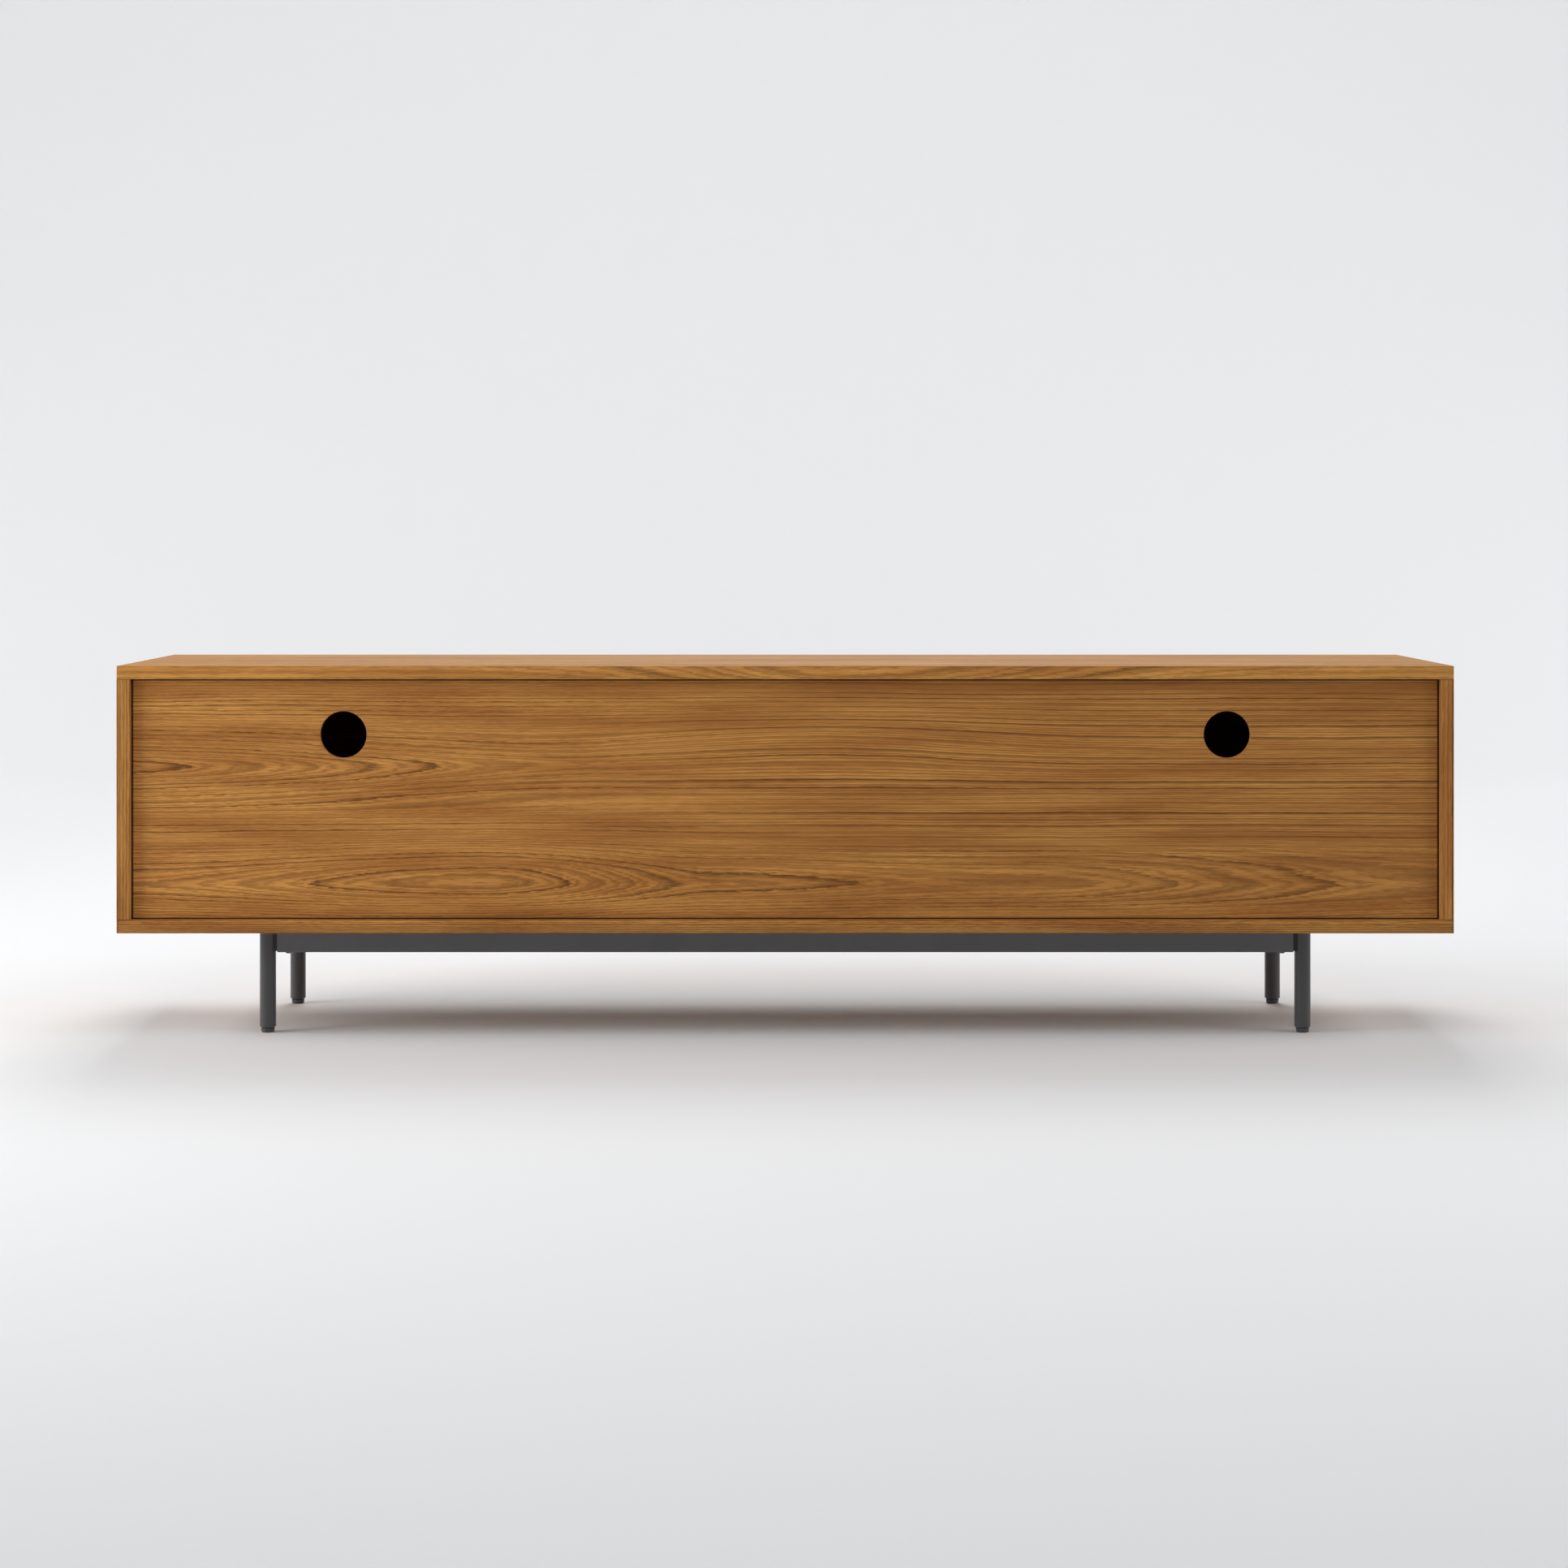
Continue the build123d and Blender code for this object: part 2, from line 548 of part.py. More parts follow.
for name, side in SIDES.items():
    with BuildPart() as door:
        with BuildSketch(Plane.XY.offset(DOOR_LOW)):
            with Locations((side * DOOR_X, FACE_Y + FRONT_THICK / 2)):
                Rectangle(FRONT_WIDTH, FRONT_THICK)
        extrude(amount=DOOR_HEIGHT)
        fillet(door.edges(), EDGE_ROUND)
        leaf_screws = [
            (side * (PIVOT_X - along), PIVOT_Y) for along in LEAF_SCREWS_FROM_PIVOT
        ]
        for end_z, inward in ((DOOR_LOW, 1), (DOOR_HIGH, -1)):
            with BuildSketch(Plane.XY.offset(end_z)):
                with Locations((side * LEAF_MID_X, PIVOT_Y)):
                    SlotOverall(LEAF_LENGTH + 2 * LEAF_PLAY, LEAF_WIDTH + 2 * LEAF_PLAY)
            extrude(amount=inward * LEAF_THICK, mode=Mode.SUBTRACT)
            with BuildSketch(Plane.XY.offset(end_z)):
                with Locations((side * PIVOT_X, PIVOT_Y)):
                    Circle(HINGE_PIN_R + 3 * SCREW_PLAY)
            extrude(amount=inward * (HINGE_PIN_DROP + SCREW_PLAY), mode=Mode.SUBTRACT)
            with BuildSketch(Plane.XY.offset(end_z)):
                with Locations(*leaf_screws):
                    Circle(LEAF_SCREW_R + SCREW_PLAY)
            extrude(
                amount=inward * (LEAF_SCREW_LENGTH + DOWEL_END_PLAY), mode=Mode.SUBTRACT
            )
        knob_x = side * (DOOR_X - FRONT_WIDTH / 2 + KNOB_FROM_DOOR_EDGE)
        with BuildSketch(Plane.XZ.offset(-FACE_Y)):
            with Locations((knob_x, KNOB_DOOR_Z)):
                Circle(KNOB_STUD_R + SCREW_PLAY)
        extrude(amount=-(KNOB_STUD_LENGTH + DOWEL_END_PLAY), mode=Mode.SUBTRACT)
        with BuildSketch(Plane.XZ.offset(-FACE_BACK_Y)):
            with Locations(*[(side * MAGNET_X, z) for z in MAGNET_ROWS]):
                Circle(MAGNET_R + SCREW_PLAY)
        extrude(amount=MAGNET_THICK, mode=Mode.SUBTRACT)
    save(door.part, f"{name}_door")

    with BuildPart() as door_knob:
        with Locations((knob_x, FACE_Y, KNOB_DOOR_Z)):
            add(FRONT_KNOB)
    save(door_knob.part, f"{name}_door_knob")

    with BuildPart() as door_hinge_leaves:
        if side > 0:
            add(mirrored_in_height(door_hinge_leaf.part))
        else:
            mirror(mirrored_in_height(door_hinge_leaf.part), about=Plane.YZ)
    save(door_hinge_leaves.part, f"{name}_door_hinge_leaves")

    with BuildPart() as door_hinge_screws:
        with Locations(*[(x, y, DOOR_HIGH) for x, y in leaf_screws]):
            add(LEAF_SCREW)
        with Locations(*[Location((x, y, DOOR_LOW), (180, 0, 0)) for x, y in leaf_screws]):
            add(LEAF_SCREW)
    save(door_hinge_screws.part, f"{name}_door_hinge_screws")

    with BuildPart() as door_magnets:
        with BuildSketch(Plane.XZ.offset(-FACE_BACK_Y)):
            with Locations(*[(side * MAGNET_X, z) for z in MAGNET_ROWS]):
                Circle(MAGNET_R)
        extrude(amount=MAGNET_THICK)
    save(door_magnets.part, f"{name}_door_magnets")


# --- Ball-bearing slides: three nested channels -------------------------------------
def channel_pair(mid_z, depth_from, depth_to, half_height, web_at_drawer):
    """Two facing channels, one each side of the drawer.

    The depths are measured from the divider's face towards the drawer.
    """
    with BuildPart() as pair:
        for side in SIDES.values():
            web = depth_to - SLIDE_METAL / 2 if web_at_drawer else depth_from + SLIDE_METAL / 2
            middle = (depth_from + depth_to) / 2
            with BuildSketch(Plane.XZ.offset(-SLIDE_FRONT_Y)):
                with Locations((side * (DIVIDER_FACE_X - web), mid_z)):
                    Rectangle(SLIDE_METAL, 2 * half_height)
                with Locations(
                    (side * (DIVIDER_FACE_X - middle), mid_z + half_height - SLIDE_METAL / 2),
                    (side * (DIVIDER_FACE_X - middle), mid_z - half_height + SLIDE_METAL / 2),
                ):
                    Rectangle(depth_to - depth_from, SLIDE_METAL)
            extrude(amount=-SLIDE_LENGTH)
    return pair.part


with BuildPart() as slide_case_members:
    for low in DRAWERS.values():
        mid_z = low + DRAWER_BOX_ABOVE_FRONT + DRAWER_BOX_HEIGHT / 2
        add(channel_pair(mid_z, 0, SLIDE_CASE_REACH, SLIDE_HALF_HEIGHT, False))
        for side in SIDES.values():
            with BuildSketch(Plane.YZ.offset(side * DIVIDER_FACE_X)):
                with Locations(*[(SLIDE_FRONT_Y + a, mid_z) for a in SLIDE_SCREWS_FROM_FRONT]):
                    Circle(SLIDE_SCREW_R + SCREW_PLAY)
            extrude(amount=-side * SLIDE_METAL, mode=Mode.SUBTRACT)
save(slide_case_members.part, "slide_case_members")

with BuildPart() as slide_case_screws:
    for low in DRAWERS.values():
        mid_z = low + DRAWER_BOX_ABOVE_FRONT + DRAWER_BOX_HEIGHT / 2
        for side in SIDES.values():
            face_x = side * (DIVIDER_FACE_X - SLIDE_METAL)
            with Locations(
                *[
                    Location((face_x, SLIDE_FRONT_Y + along, mid_z), (0, -90 * side, 0))
                    for along in SLIDE_SCREWS_FROM_FRONT
                ]
            ):
                add(SLIDE_SCREW)
save(slide_case_screws.part, "slide_case_screws")

# --- Drawers ------------------------------------------------------------------------
for name, low in DRAWERS.items():
    box_low = low + DRAWER_BOX_ABOVE_FRONT
    box_rear = FACE_BACK_Y + DRAWER_BOX_DEPTH
    box_mid_y = (FACE_BACK_Y + box_rear) / 2
    mid_z = box_low + DRAWER_BOX_HEIGHT / 2
    knob_z = low + DRAWER_FRONT_HEIGHT / 2
    bottom_low = box_low + DRAWER_BOTTOM_RISE
    bottom_reach = DRAWER_GROOVE - DRAWER_PLAY

    with BuildPart() as drawer_front:
        with BuildSketch(Plane.XY.offset(low)):
            with Locations((0, FACE_Y + FRONT_THICK / 2)):
                Rectangle(FRONT_WIDTH, FRONT_THICK)
        extrude(amount=DRAWER_FRONT_HEIGHT)
        fillet(drawer_front.edges(), EDGE_ROUND)
        with BuildSketch(Plane.XZ.offset(-FACE_Y)):
            with Locations((0, knob_z)):
                Circle(KNOB_STUD_R + SCREW_PLAY)
        extrude(amount=-(KNOB_STUD_LENGTH + DOWEL_END_PLAY), mode=Mode.SUBTRACT)
        with BuildSketch(Plane.XZ.offset(-FACE_BACK_Y)):
            with Locations((0, bottom_low + DRAWER_BOTTOM_THICK / 2)):
                Rectangle(2 * (DRAWER_INNER_HALF + DRAWER_GROOVE), DRAWER_BOTTOM_THICK)
        extrude(amount=DRAWER_GROOVE, mode=Mode.SUBTRACT)
    save(drawer_front.part, f"{name}_drawer_front")

    with BuildPart() as drawer_knob:
        with Locations((0, FACE_Y, knob_z)):
            add(FRONT_KNOB)
    save(drawer_knob.part, f"{name}_drawer_knob")

    with BuildPart() as drawer_sides:
        with BuildSketch(Plane.XY.offset(box_low)):
            for side in SIDES.values():
                with Locations((side * (DRAWER_HALF - DRAWER_BOARD / 2), box_mid_y)):
                    Rectangle(DRAWER_BOARD, DRAWER_BOX_DEPTH)
        extrude(amount=DRAWER_BOX_HEIGHT)
        fillet(drawer_sides.edges().filter_by(Axis.Y).group_by(Axis.Z)[-1], DRAWER_TOP_ROUND)
        with BuildSketch(Plane.XY.offset(bottom_low)):
            for side in SIDES.values():
                with Locations((side * (DRAWER_INNER_HALF + DRAWER_GROOVE / 2), box_mid_y)):
                    Rectangle(DRAWER_GROOVE, DRAWER_BOX_DEPTH)
        extrude(amount=DRAWER_BOTTOM_THICK, mode=Mode.SUBTRACT)
    save(drawer_sides.part, f"{name}_drawer_sides")

    with BuildPart() as drawer_back:
        with BuildSketch(Plane.XY.offset(box_low)):
            with Locations((0, box_rear - DRAWER_BOARD / 2)):
                Rectangle(2 * DRAWER_INNER_HALF, DRAWER_BOARD)
        extrude(amount=DRAWER_BOX_HEIGHT)
        fillet(drawer_back.edges().filter_by(Axis.X).group_by(Axis.Z)[-1], DRAWER_TOP_ROUND)
        with BuildSketch(Plane.XY.offset(bottom_low)):
            with Locations((0, box_rear - DRAWER_BOARD + DRAWER_GROOVE / 2)):
                Rectangle(2 * DRAWER_INNER_HALF, DRAWER_GROOVE)
        extrude(amount=DRAWER_BOTTOM_THICK, mode=Mode.SUBTRACT)
    save(drawer_back.part, f"{name}_drawer_back")

    with BuildPart() as drawer_bottom:
        front_y = FACE_BACK_Y - bottom_reach
        rear_y = box_rear - DRAWER_BOARD + bottom_reach
        with BuildSketch(Plane.XY.offset(bottom_low)):
            with Locations((0, (front_y + rear_y) / 2)):
                Rectangle(2 * (DRAWER_INNER_HALF + bottom_reach), rear_y - front_y)
        extrude(amount=DRAWER_BOTTOM_THICK)
    save(drawer_bottom.part, f"{name}_drawer_bottom")

    drawer_members = channel_pair(
        mid_z, SLIDE_DRAWER_START, SLIDE_SPACE, SLIDE_HALF_HEIGHT - 2 * SLIDE_STEP, True
    )
    save(drawer_members, f"{name}_drawer_slide_members")
    middle_members = channel_pair(
        mid_z, SLIDE_MIDDLE_START, SLIDE_MIDDLE_REACH, SLIDE_HALF_HEIGHT - SLIDE_STEP, False
    )
    save(middle_members, f"{name}_middle_slide_members")

# --- Base: legs with their levelling feet -------------------------------------------
for name, (sx, sy) in CORNERS.items():
    with BuildPart() as leg:
        with BuildSketch(Plane.XY.offset(LEG_LOW)):
            with Locations((sx * LEG_X, sy * LEG_Y)):
                Circle(LEG_R)
                Circle(LEG_R - TUBE_WALL, mode=Mode.SUBTRACT)
        extrude(amount=FRAME_TOP - LEG_LOW)
        chamfer(
            leg.edges().filter_by(GeomType.CIRCLE).group_by(Axis.Z)[0].sort_by(SortBy.RADIUS)[-1],
            LEG_END_CHAMFER,
        )
    save(leg.part, f"{name}_leg")

    with BuildPart() as foot_pad:
        with BuildSketch(Plane.XZ):
            with BuildLine():
                Polyline(
                    (0, 0),
                    (FOOT_SOLE_R, 0),
                    (FOOT_TOP_R, FOOT_HEIGHT - FOOT_SHOULDER),
                    (FOOT_TOP_R - FOOT_SHOULDER, FOOT_HEIGHT),
                    (STUD_R + STUD_PLAY, FOOT_HEIGHT),
                    (STUD_R + STUD_PLAY, FOOT_HEIGHT - STUD_IN_FOOT - STUD_PLAY),
                    (0, FOOT_HEIGHT - STUD_IN_FOOT - STUD_PLAY),
                    close=True,
                )
            make_face()
        revolve(axis=Axis.Z)
        fillet(foot_pad.edges().filter_by(GeomType.CIRCLE).sort_by(Axis.Z)[0], FOOT_ROUND)
    save(foot_pad.part.moved(Location((sx * LEG_X, sy * LEG_Y, 0))), f"{name}_foot_pad")

    with BuildPart() as foot_stud:
        with BuildSketch(Plane.XY.offset(FOOT_HEIGHT - STUD_IN_FOOT)):
            with Locations((sx * LEG_X, sy * LEG_Y)):
                Circle(STUD_R)
        extrude(amount=STUD_TOP - FOOT_HEIGHT + STUD_IN_FOOT)
        chamfer(foot_stud.edges().filter_by(GeomType.CIRCLE).sort_by(Axis.Z)[-1], STUD_CHAMFER)
    save(foot_stud.part, f"{name}_foot_stud")

with BuildPart() as leg_inserts:
    with BuildSketch(Plane.XY.offset(LEG_LOW + INSERT_UP)):
        with GridLocations(2 * LEG_X, 2 * LEG_Y, 2, 2):
            Circle(LEG_R - TUBE_WALL - INSERT_PLAY)
            Circle(STUD_R + STUD_PLAY, mode=Mode.SUBTRACT)
    extrude(amount=INSERT_LENGTH)
save(leg_inserts.part, "leg_inserts")

# --- Base: rails, stubs, plates and their screws ------------------------------------
for name, side in SIDES.items():
    with BuildPart() as cross_rail:
        with BuildSketch(Plane.XZ.offset(-LEG_Y)):
            with Locations((side * LEG_X, RAIL_MID_Z)):
                RectangleRounded(CROSS_RAIL_WIDTH, RAIL_HEIGHT, RAIL_CORNER_R)
                Rectangle(
                    CROSS_RAIL_WIDTH - 2 * TUBE_WALL,
                    RAIL_HEIGHT - 2 * TUBE_WALL,
                    mode=Mode.SUBTRACT,
                )
        extrude(amount=2 * LEG_Y)
        # Coped ends that fit round the legs.
        with BuildSketch(Plane.XY.offset(RAIL_LOW)):
            with Locations((side * LEG_X, LEG_Y), (side * LEG_X, -LEG_Y)):
                Circle(LEG_R + WELD_PLAY)
        extrude(amount=RAIL_HEIGHT, mode=Mode.SUBTRACT)
    save(cross_rail.part, f"{name}_cross_rail")

for name, rail_y in (("front", -LEG_Y), ("rear", LEG_Y)):
    with BuildPart() as long_rail:
        with BuildSketch(Plane.YZ.offset(-RAIL_HALF)):
            with Locations((rail_y, RAIL_MID_Z)):
                RectangleRounded(RAIL_WIDTH, RAIL_HEIGHT, RAIL_CORNER_R)
                Rectangle(
                    RAIL_WIDTH - 2 * TUBE_WALL, RAIL_HEIGHT - 2 * TUBE_WALL, mode=Mode.SUBTRACT
                )
        extrude(amount=2 * RAIL_HALF)
        with BuildSketch(Plane.XY.offset(RAIL_LOW)):
            with Locations((-RAIL_SCREW_X, rail_y), (RAIL_SCREW_X, rail_y)):
                Circle(PLATE_SCREW_R + SCREW_PLAY)
        extrude(amount=TUBE_WALL, mode=Mode.SUBTRACT)
    save(long_rail.part, f"{name}_rail")

with BuildPart() as rail_stubs:
    for sx, sy in CORNERS.values():
        with BuildSketch(Plane.YZ.offset(sx * LEG_X)):
            with Locations((sy * LEG_Y, RAIL_MID_Z)):
                Rectangle(STUB_WIDTH, STUB_HEIGHT)
        extrude(amount=-sx * (LEG_R + RAIL_REVEAL + STUB_LENGTH))
    with BuildSketch(Plane.XY.offset(RAIL_LOW)):
        with GridLocations(2 * LEG_X, 2 * LEG_Y, 2, 2):
            Circle(LEG_R + WELD_PLAY)
    extrude(amount=RAIL_HEIGHT, mode=Mode.SUBTRACT)
    with BuildSketch(Plane.XY.offset(RAIL_LOW)):
        with GridLocations(2 * RAIL_SCREW_X, 2 * LEG_Y, 2, 2):
            Circle(PLATE_SCREW_R + SCREW_PLAY)
    extrude(amount=PLATE_SCREW_LENGTH + DOWEL_END_PLAY, mode=Mode.SUBTRACT)
    # The half of each stub on the far side of its leg is cut away.
    for sx in SIDES.values():
        with BuildSketch(Plane.XY.offset(RAIL_LOW)):
            with Locations((sx * (LEG_X + LEG_R), 0)):
                Rectangle(2 * LEG_R, CASE_DEPTH)
        extrude(amount=RAIL_HEIGHT, mode=Mode.SUBTRACT)
save(rail_stubs.part, "rail_stubs")

with BuildPart() as base_plates:
    for sx, sy in CORNERS.values():
        near_x, near_y = sx * (LEG_X + LEG_R), sy * (LEG_Y + LEG_R)
        far_x, far_y = near_x - sx * (PLATE_LENGTH + LEG_R), near_y - sy * (PLATE_WIDTH + LEG_R)
        with BuildSketch(Plane.XY.offset(FRAME_TOP)):
            with BuildLine():
                Polyline(
                    (near_x, near_y),
                    (far_x, near_y),
                    (far_x, far_y + sy * PLATE_CORNER),
                    (far_x + sx * PLATE_CORNER, far_y),
                    (near_x, far_y),
                    close=True,
                )
            make_face()
        extrude(amount=PLATE_THICK)
    fillet(base_plates.edges().filter_by(Axis.Z), PLATE_CORNER_R)
    with BuildSketch(Plane.XY.offset(FRAME_TOP)):
        with Locations(*PLATE_SCREW_SPOTS):
            Circle(PLATE_SCREW_R + 2 * SCREW_PLAY)
    extrude(amount=PLATE_THICK, mode=Mode.SUBTRACT)
save(base_plates.part, "base_plates")

with BuildPart() as base_screws:
    with Locations(*[Location((x, y, FRAME_TOP), (180, 0, 0)) for x, y in PLATE_SCREW_SPOTS]):
        add(PLATE_SCREW)
    with Locations(
        *[
            Location((sx * RAIL_SCREW_X, sy * LEG_Y, RAIL_LOW), (180, 0, 0))
            for sx, sy in CORNERS.values()
        ]
    ):
        add(PLATE_SCREW)
save(base_screws.part, "base_screws")
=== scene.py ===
import json
import logging
import math
from dataclasses import dataclass
from enum import Enum
from typing import Any

import bpy
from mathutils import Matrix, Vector


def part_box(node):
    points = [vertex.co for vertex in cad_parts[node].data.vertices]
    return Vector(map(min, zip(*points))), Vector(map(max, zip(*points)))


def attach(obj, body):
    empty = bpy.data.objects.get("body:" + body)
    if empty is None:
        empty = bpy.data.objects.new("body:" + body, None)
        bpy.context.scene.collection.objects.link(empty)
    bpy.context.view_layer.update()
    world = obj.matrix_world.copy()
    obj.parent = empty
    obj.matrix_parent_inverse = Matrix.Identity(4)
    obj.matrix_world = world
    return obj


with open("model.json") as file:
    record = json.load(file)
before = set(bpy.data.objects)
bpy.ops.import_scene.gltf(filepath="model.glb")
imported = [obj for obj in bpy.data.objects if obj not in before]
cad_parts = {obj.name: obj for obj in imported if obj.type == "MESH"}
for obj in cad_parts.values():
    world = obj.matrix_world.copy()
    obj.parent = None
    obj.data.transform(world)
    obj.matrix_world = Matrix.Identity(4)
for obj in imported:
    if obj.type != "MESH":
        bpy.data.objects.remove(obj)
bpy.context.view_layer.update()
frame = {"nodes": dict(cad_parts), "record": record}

log = logging.getLogger("media_cabinet")

Socket = bpy.types.NodeSocket
Value = Socket | float
Colour = tuple[float, float, float]
MM = 1000.0
# Most of a noise lies between these values.
SPREAD = (0.3, 0.7)


def from_screen(red: int, green: int, blue: int) -> Colour:
    """Turn a screen colour of 0 to 255 a channel into the linear one that a shader takes.

    Args:
        red: The red channel.
        green: The green channel.
        blue: The blue channel.

    Returns:
        The linear colour.
    """
    return tuple(
        c / 255 / 12.92 if c <= 10 else ((c / 255 + 0.055) / 1.055) ** 2.4
        for c in (red, green, blue)
    )


class Axis(Enum):
    """A direction of the cabinet: X to the right, Y to the back, Z up."""

    X = 0
    Y = 1
    Z = 2


# --- Materials ------------------------------------------------------------------------
class Wires:
    """Adds nodes to one material's tree and joins them up."""

    def __init__(self, name: str) -> None:
        """Start an empty material.

        Args:
            name: The material's name.
        """
        self.material = bpy.data.materials.new(name)
        self.material.use_nodes = True
        self.tree = self.material.node_tree
        self.tree.nodes.clear()
        self.shader = self.node("ShaderNodeBsdfPrincipled")
        out = self.node("ShaderNodeOutputMaterial")
        self.tree.links.new(self.shader.outputs[0], out.inputs[0])

    def node(self, kind: str, **settings: Any) -> bpy.types.Node:
        """Add a node.

        Args:
            kind: The node's Blender type.
            **settings: Properties to set on it.

        Returns:
            The new node.
        """
        made = self.tree.nodes.new(kind)
        for key, value in settings.items():
            setattr(made, key, value)
        return made

    def put(self, socket: Socket, value: Any) -> None:
        """Link a socket's source, or set its plain value.

        Args:
            socket: The input to feed.
            value: Another node's output, or a plain value.
        """
        if isinstance(value, bpy.types.NodeSocket):
            self.tree.links.new(value, socket)
        else:
            socket.default_value = value

    def math(self, operation: str, *values: Value) -> Socket:
        """Work out one sum.

        Args:
            operation: The Math node's operation.
            *values: Its inputs in order.

        Returns:
            The result's socket.
        """
        made = self.node("ShaderNodeMath", operation=operation)
        for socket, value in zip(made.inputs, values):
            self.put(socket, value)
        return made.outputs[0]

    def add(self, *values: Value) -> Socket:
        """Add up all the values.

        Args:
            *values: What is added.

        Returns:
            The sum.
        """
        total = values[0]
        for value in values[1:]:
            total = self.math("ADD", total, value)
        return total

    def times(self, *values: Value) -> Socket:
        """Multiply all the values.

        Args:
            *values: What is multiplied.

        Returns:
            The product.
        """
        total = values[0]
        for value in values[1:]:
            total = self.math("MULTIPLY", total, value)
        return total

    def vector(self, x: Value, y: Value, z: Value) -> Socket:
        """Join three values into a vector.

        Args:
            x: Its first value.
            y: Its second value.
            z: Its third value.

        Returns:
            The vector.
        """
        made = self.node("ShaderNodeCombineXYZ")
        for socket, value in zip(made.inputs, (x, y, z)):
            self.put(socket, value)
        return made.outputs[0]

    def place(self) -> tuple[Socket, Socket, Socket]:
        """Find where the point is on the cabinet.

        Returns:
            Its X, Y and Z in millimetres.
        """
        coords = self.node("ShaderNodeTexCoord")
        parts = self.node("ShaderNodeSeparateXYZ")
        self.put(parts.inputs[0], coords.outputs["Object"])
        return tuple(self.times(parts.outputs[i], MM) for i in range(3))

    def facing(self) -> tuple[Socket, Socket, Socket]:
        """Find which way the surface faces.

        Returns:
            How squarely it faces X, Y and Z, from 0 to 1.
        """
        coords = self.node("ShaderNodeTexCoord")
        parts = self.node("ShaderNodeSeparateXYZ")
        self.put(parts.inputs[0], coords.outputs["Normal"])
        return tuple(self.math("ABSOLUTE", parts.outputs[i]) for i in range(3))

    def noise(self, at: Socket, scale: float, detail: float = 2.0, rough: float = 0.5) -> Socket:
        """Add fractal noise.

        Args:
            at: The point's vector.
            scale: The noise's frequency.
            detail: How many finer layers are added.
            rough: How strong each finer layer is.

        Returns:
            The noise value, about 0.5 in the middle.
        """
        made = self.node("ShaderNodeTexNoise")
        self.put(made.inputs["Vector"], at)
        self.put(made.inputs["Scale"], scale)
        self.put(made.inputs["Detail"], detail)
        self.put(made.inputs["Roughness"], rough)
        return made.outputs["Fac"]

    def chance(self, value: Value, seed: float) -> Socket:
        """Give each whole number its own random value.

        Args:
            value: The whole number.
            seed: Which set of random values is used.

        Returns:
            The random value, from 0 to 1.
        """
        made = self.node("ShaderNodeTexWhiteNoise", noise_dimensions="2D")
        self.put(made.inputs["Vector"], self.vector(value, seed, 0.0))
        return made.outputs["Value"]

    def step(self, value: Value, low: float, high: float, to_low: float = 0.0,
             to_high: float = 1.0) -> Socket:
        """Rise smoothly from one value to another.

        Args:
            value: What is measured.
            low: Where the rise starts.
            high: Where it ends.
            to_low: The result below the rise.
            to_high: The result above it.

        Returns:
            The smoothed value.
        """
        made = self.node("ShaderNodeMapRange", interpolation_type="SMOOTHSTEP")
        for socket, item in zip(made.inputs, (value, low, high, to_low, to_high)):
            self.put(socket, item)
        return made.outputs[0]

    def mix(self, amount: Value, first: Socket | Colour, second: Socket | Colour) -> Socket:
        """Blend two colours.

        Args:
            amount: 0 for the first and 1 for the second.
            first: One colour.
            second: The other colour.

        Returns:
            The blended colour.
        """
        made = self.node("ShaderNodeMix", data_type="RGBA", clamp_factor=True)
        self.put(made.inputs[0], amount)
        for socket, value in zip(made.inputs[6:8], (first, second)):
            self.put(socket, value if isinstance(value, bpy.types.NodeSocket) else (*value, 1.0))
        return made.outputs[2]

    def scale_colour(self, colour: Socket, amount: Socket) -> Socket:
        """Make a colour lighter or darker.

        Args:
            colour: The colour.
            amount: The factor.

        Returns:
            The scaled colour.
        """
        made = self.node("ShaderNodeVectorMath", operation="SCALE")
        self.put(made.inputs[0], colour)
        self.put(made.inputs["Scale"], amount)
        return made.outputs[0]

    def finish(self, colour: Socket, roughness: Value, bump: Socket | None = None,
               bump_mm: float = 0.1, **sockets: Any) -> bpy.types.Material:
        """Feed the shader and give the material.

        Args:
            colour: The surface's colour.
            roughness: How rough it is.
            bump: The height pattern, 0 to 1, if it has one.
            bump_mm: How high the pattern's 1 stands, in millimetres.
            **sockets: Plain values for the shader's other sockets.

        Returns:
            The finished material.
        """
        self.put(self.shader.inputs["Base Color"], colour)
        self.put(self.shader.inputs["Roughness"], roughness)
        for name, value in sockets.items():
            self.put(self.shader.inputs[name.replace("_", " ")], value)
        if bump is not None:
            made = self.node("ShaderNodeBump")
            self.put(made.inputs["Strength"], 1.0)
            self.put(made.inputs["Distance"], bump_mm / MM)
            self.put(made.inputs["Height"], bump)
            self.put(self.shader.inputs["Normal"], made.outputs[0])
        return self.material


@dataclass(frozen=True)
class Arch:
    """A place where the growth lines bow: a low hill in the field of ring heights.

    Attributes:
        u: Where its middle is along the grain, in mm.
        v: Where its middle is across the grain, in mm.
        before: How long it is on the low-u side, in mm.
        after: How long it is on the high-u side, in mm.
        half_width: How far it reaches across the grain, in mm.
        rings: How many rings high it is.
    """

    u: float
    v: float
    before: float
    after: float
    half_width: float
    rings: float

    def lift(self, w: Wires, u: Value, v: Value) -> Socket:
        """Work out the hill's height at a point.

        Args:
            w: The material being wired.
            u: The place along the grain, in mm.
            v: The place across it, in mm.

        Returns:
            How many rings the hill adds there.
        """
        along = w.add(u, -self.u)
        reach = w.step(along, -1.0, 1.0, self.before, self.after)
        near = w.math("POWER", w.math("DIVIDE", along, reach), 2.0)
        across = w.math("POWER", w.times(w.add(v, -self.v), 1 / self.half_width), 2.0)
        return w.times(w.math("EXPONENT", w.times(w.add(near, across), -1.0)), self.rings)


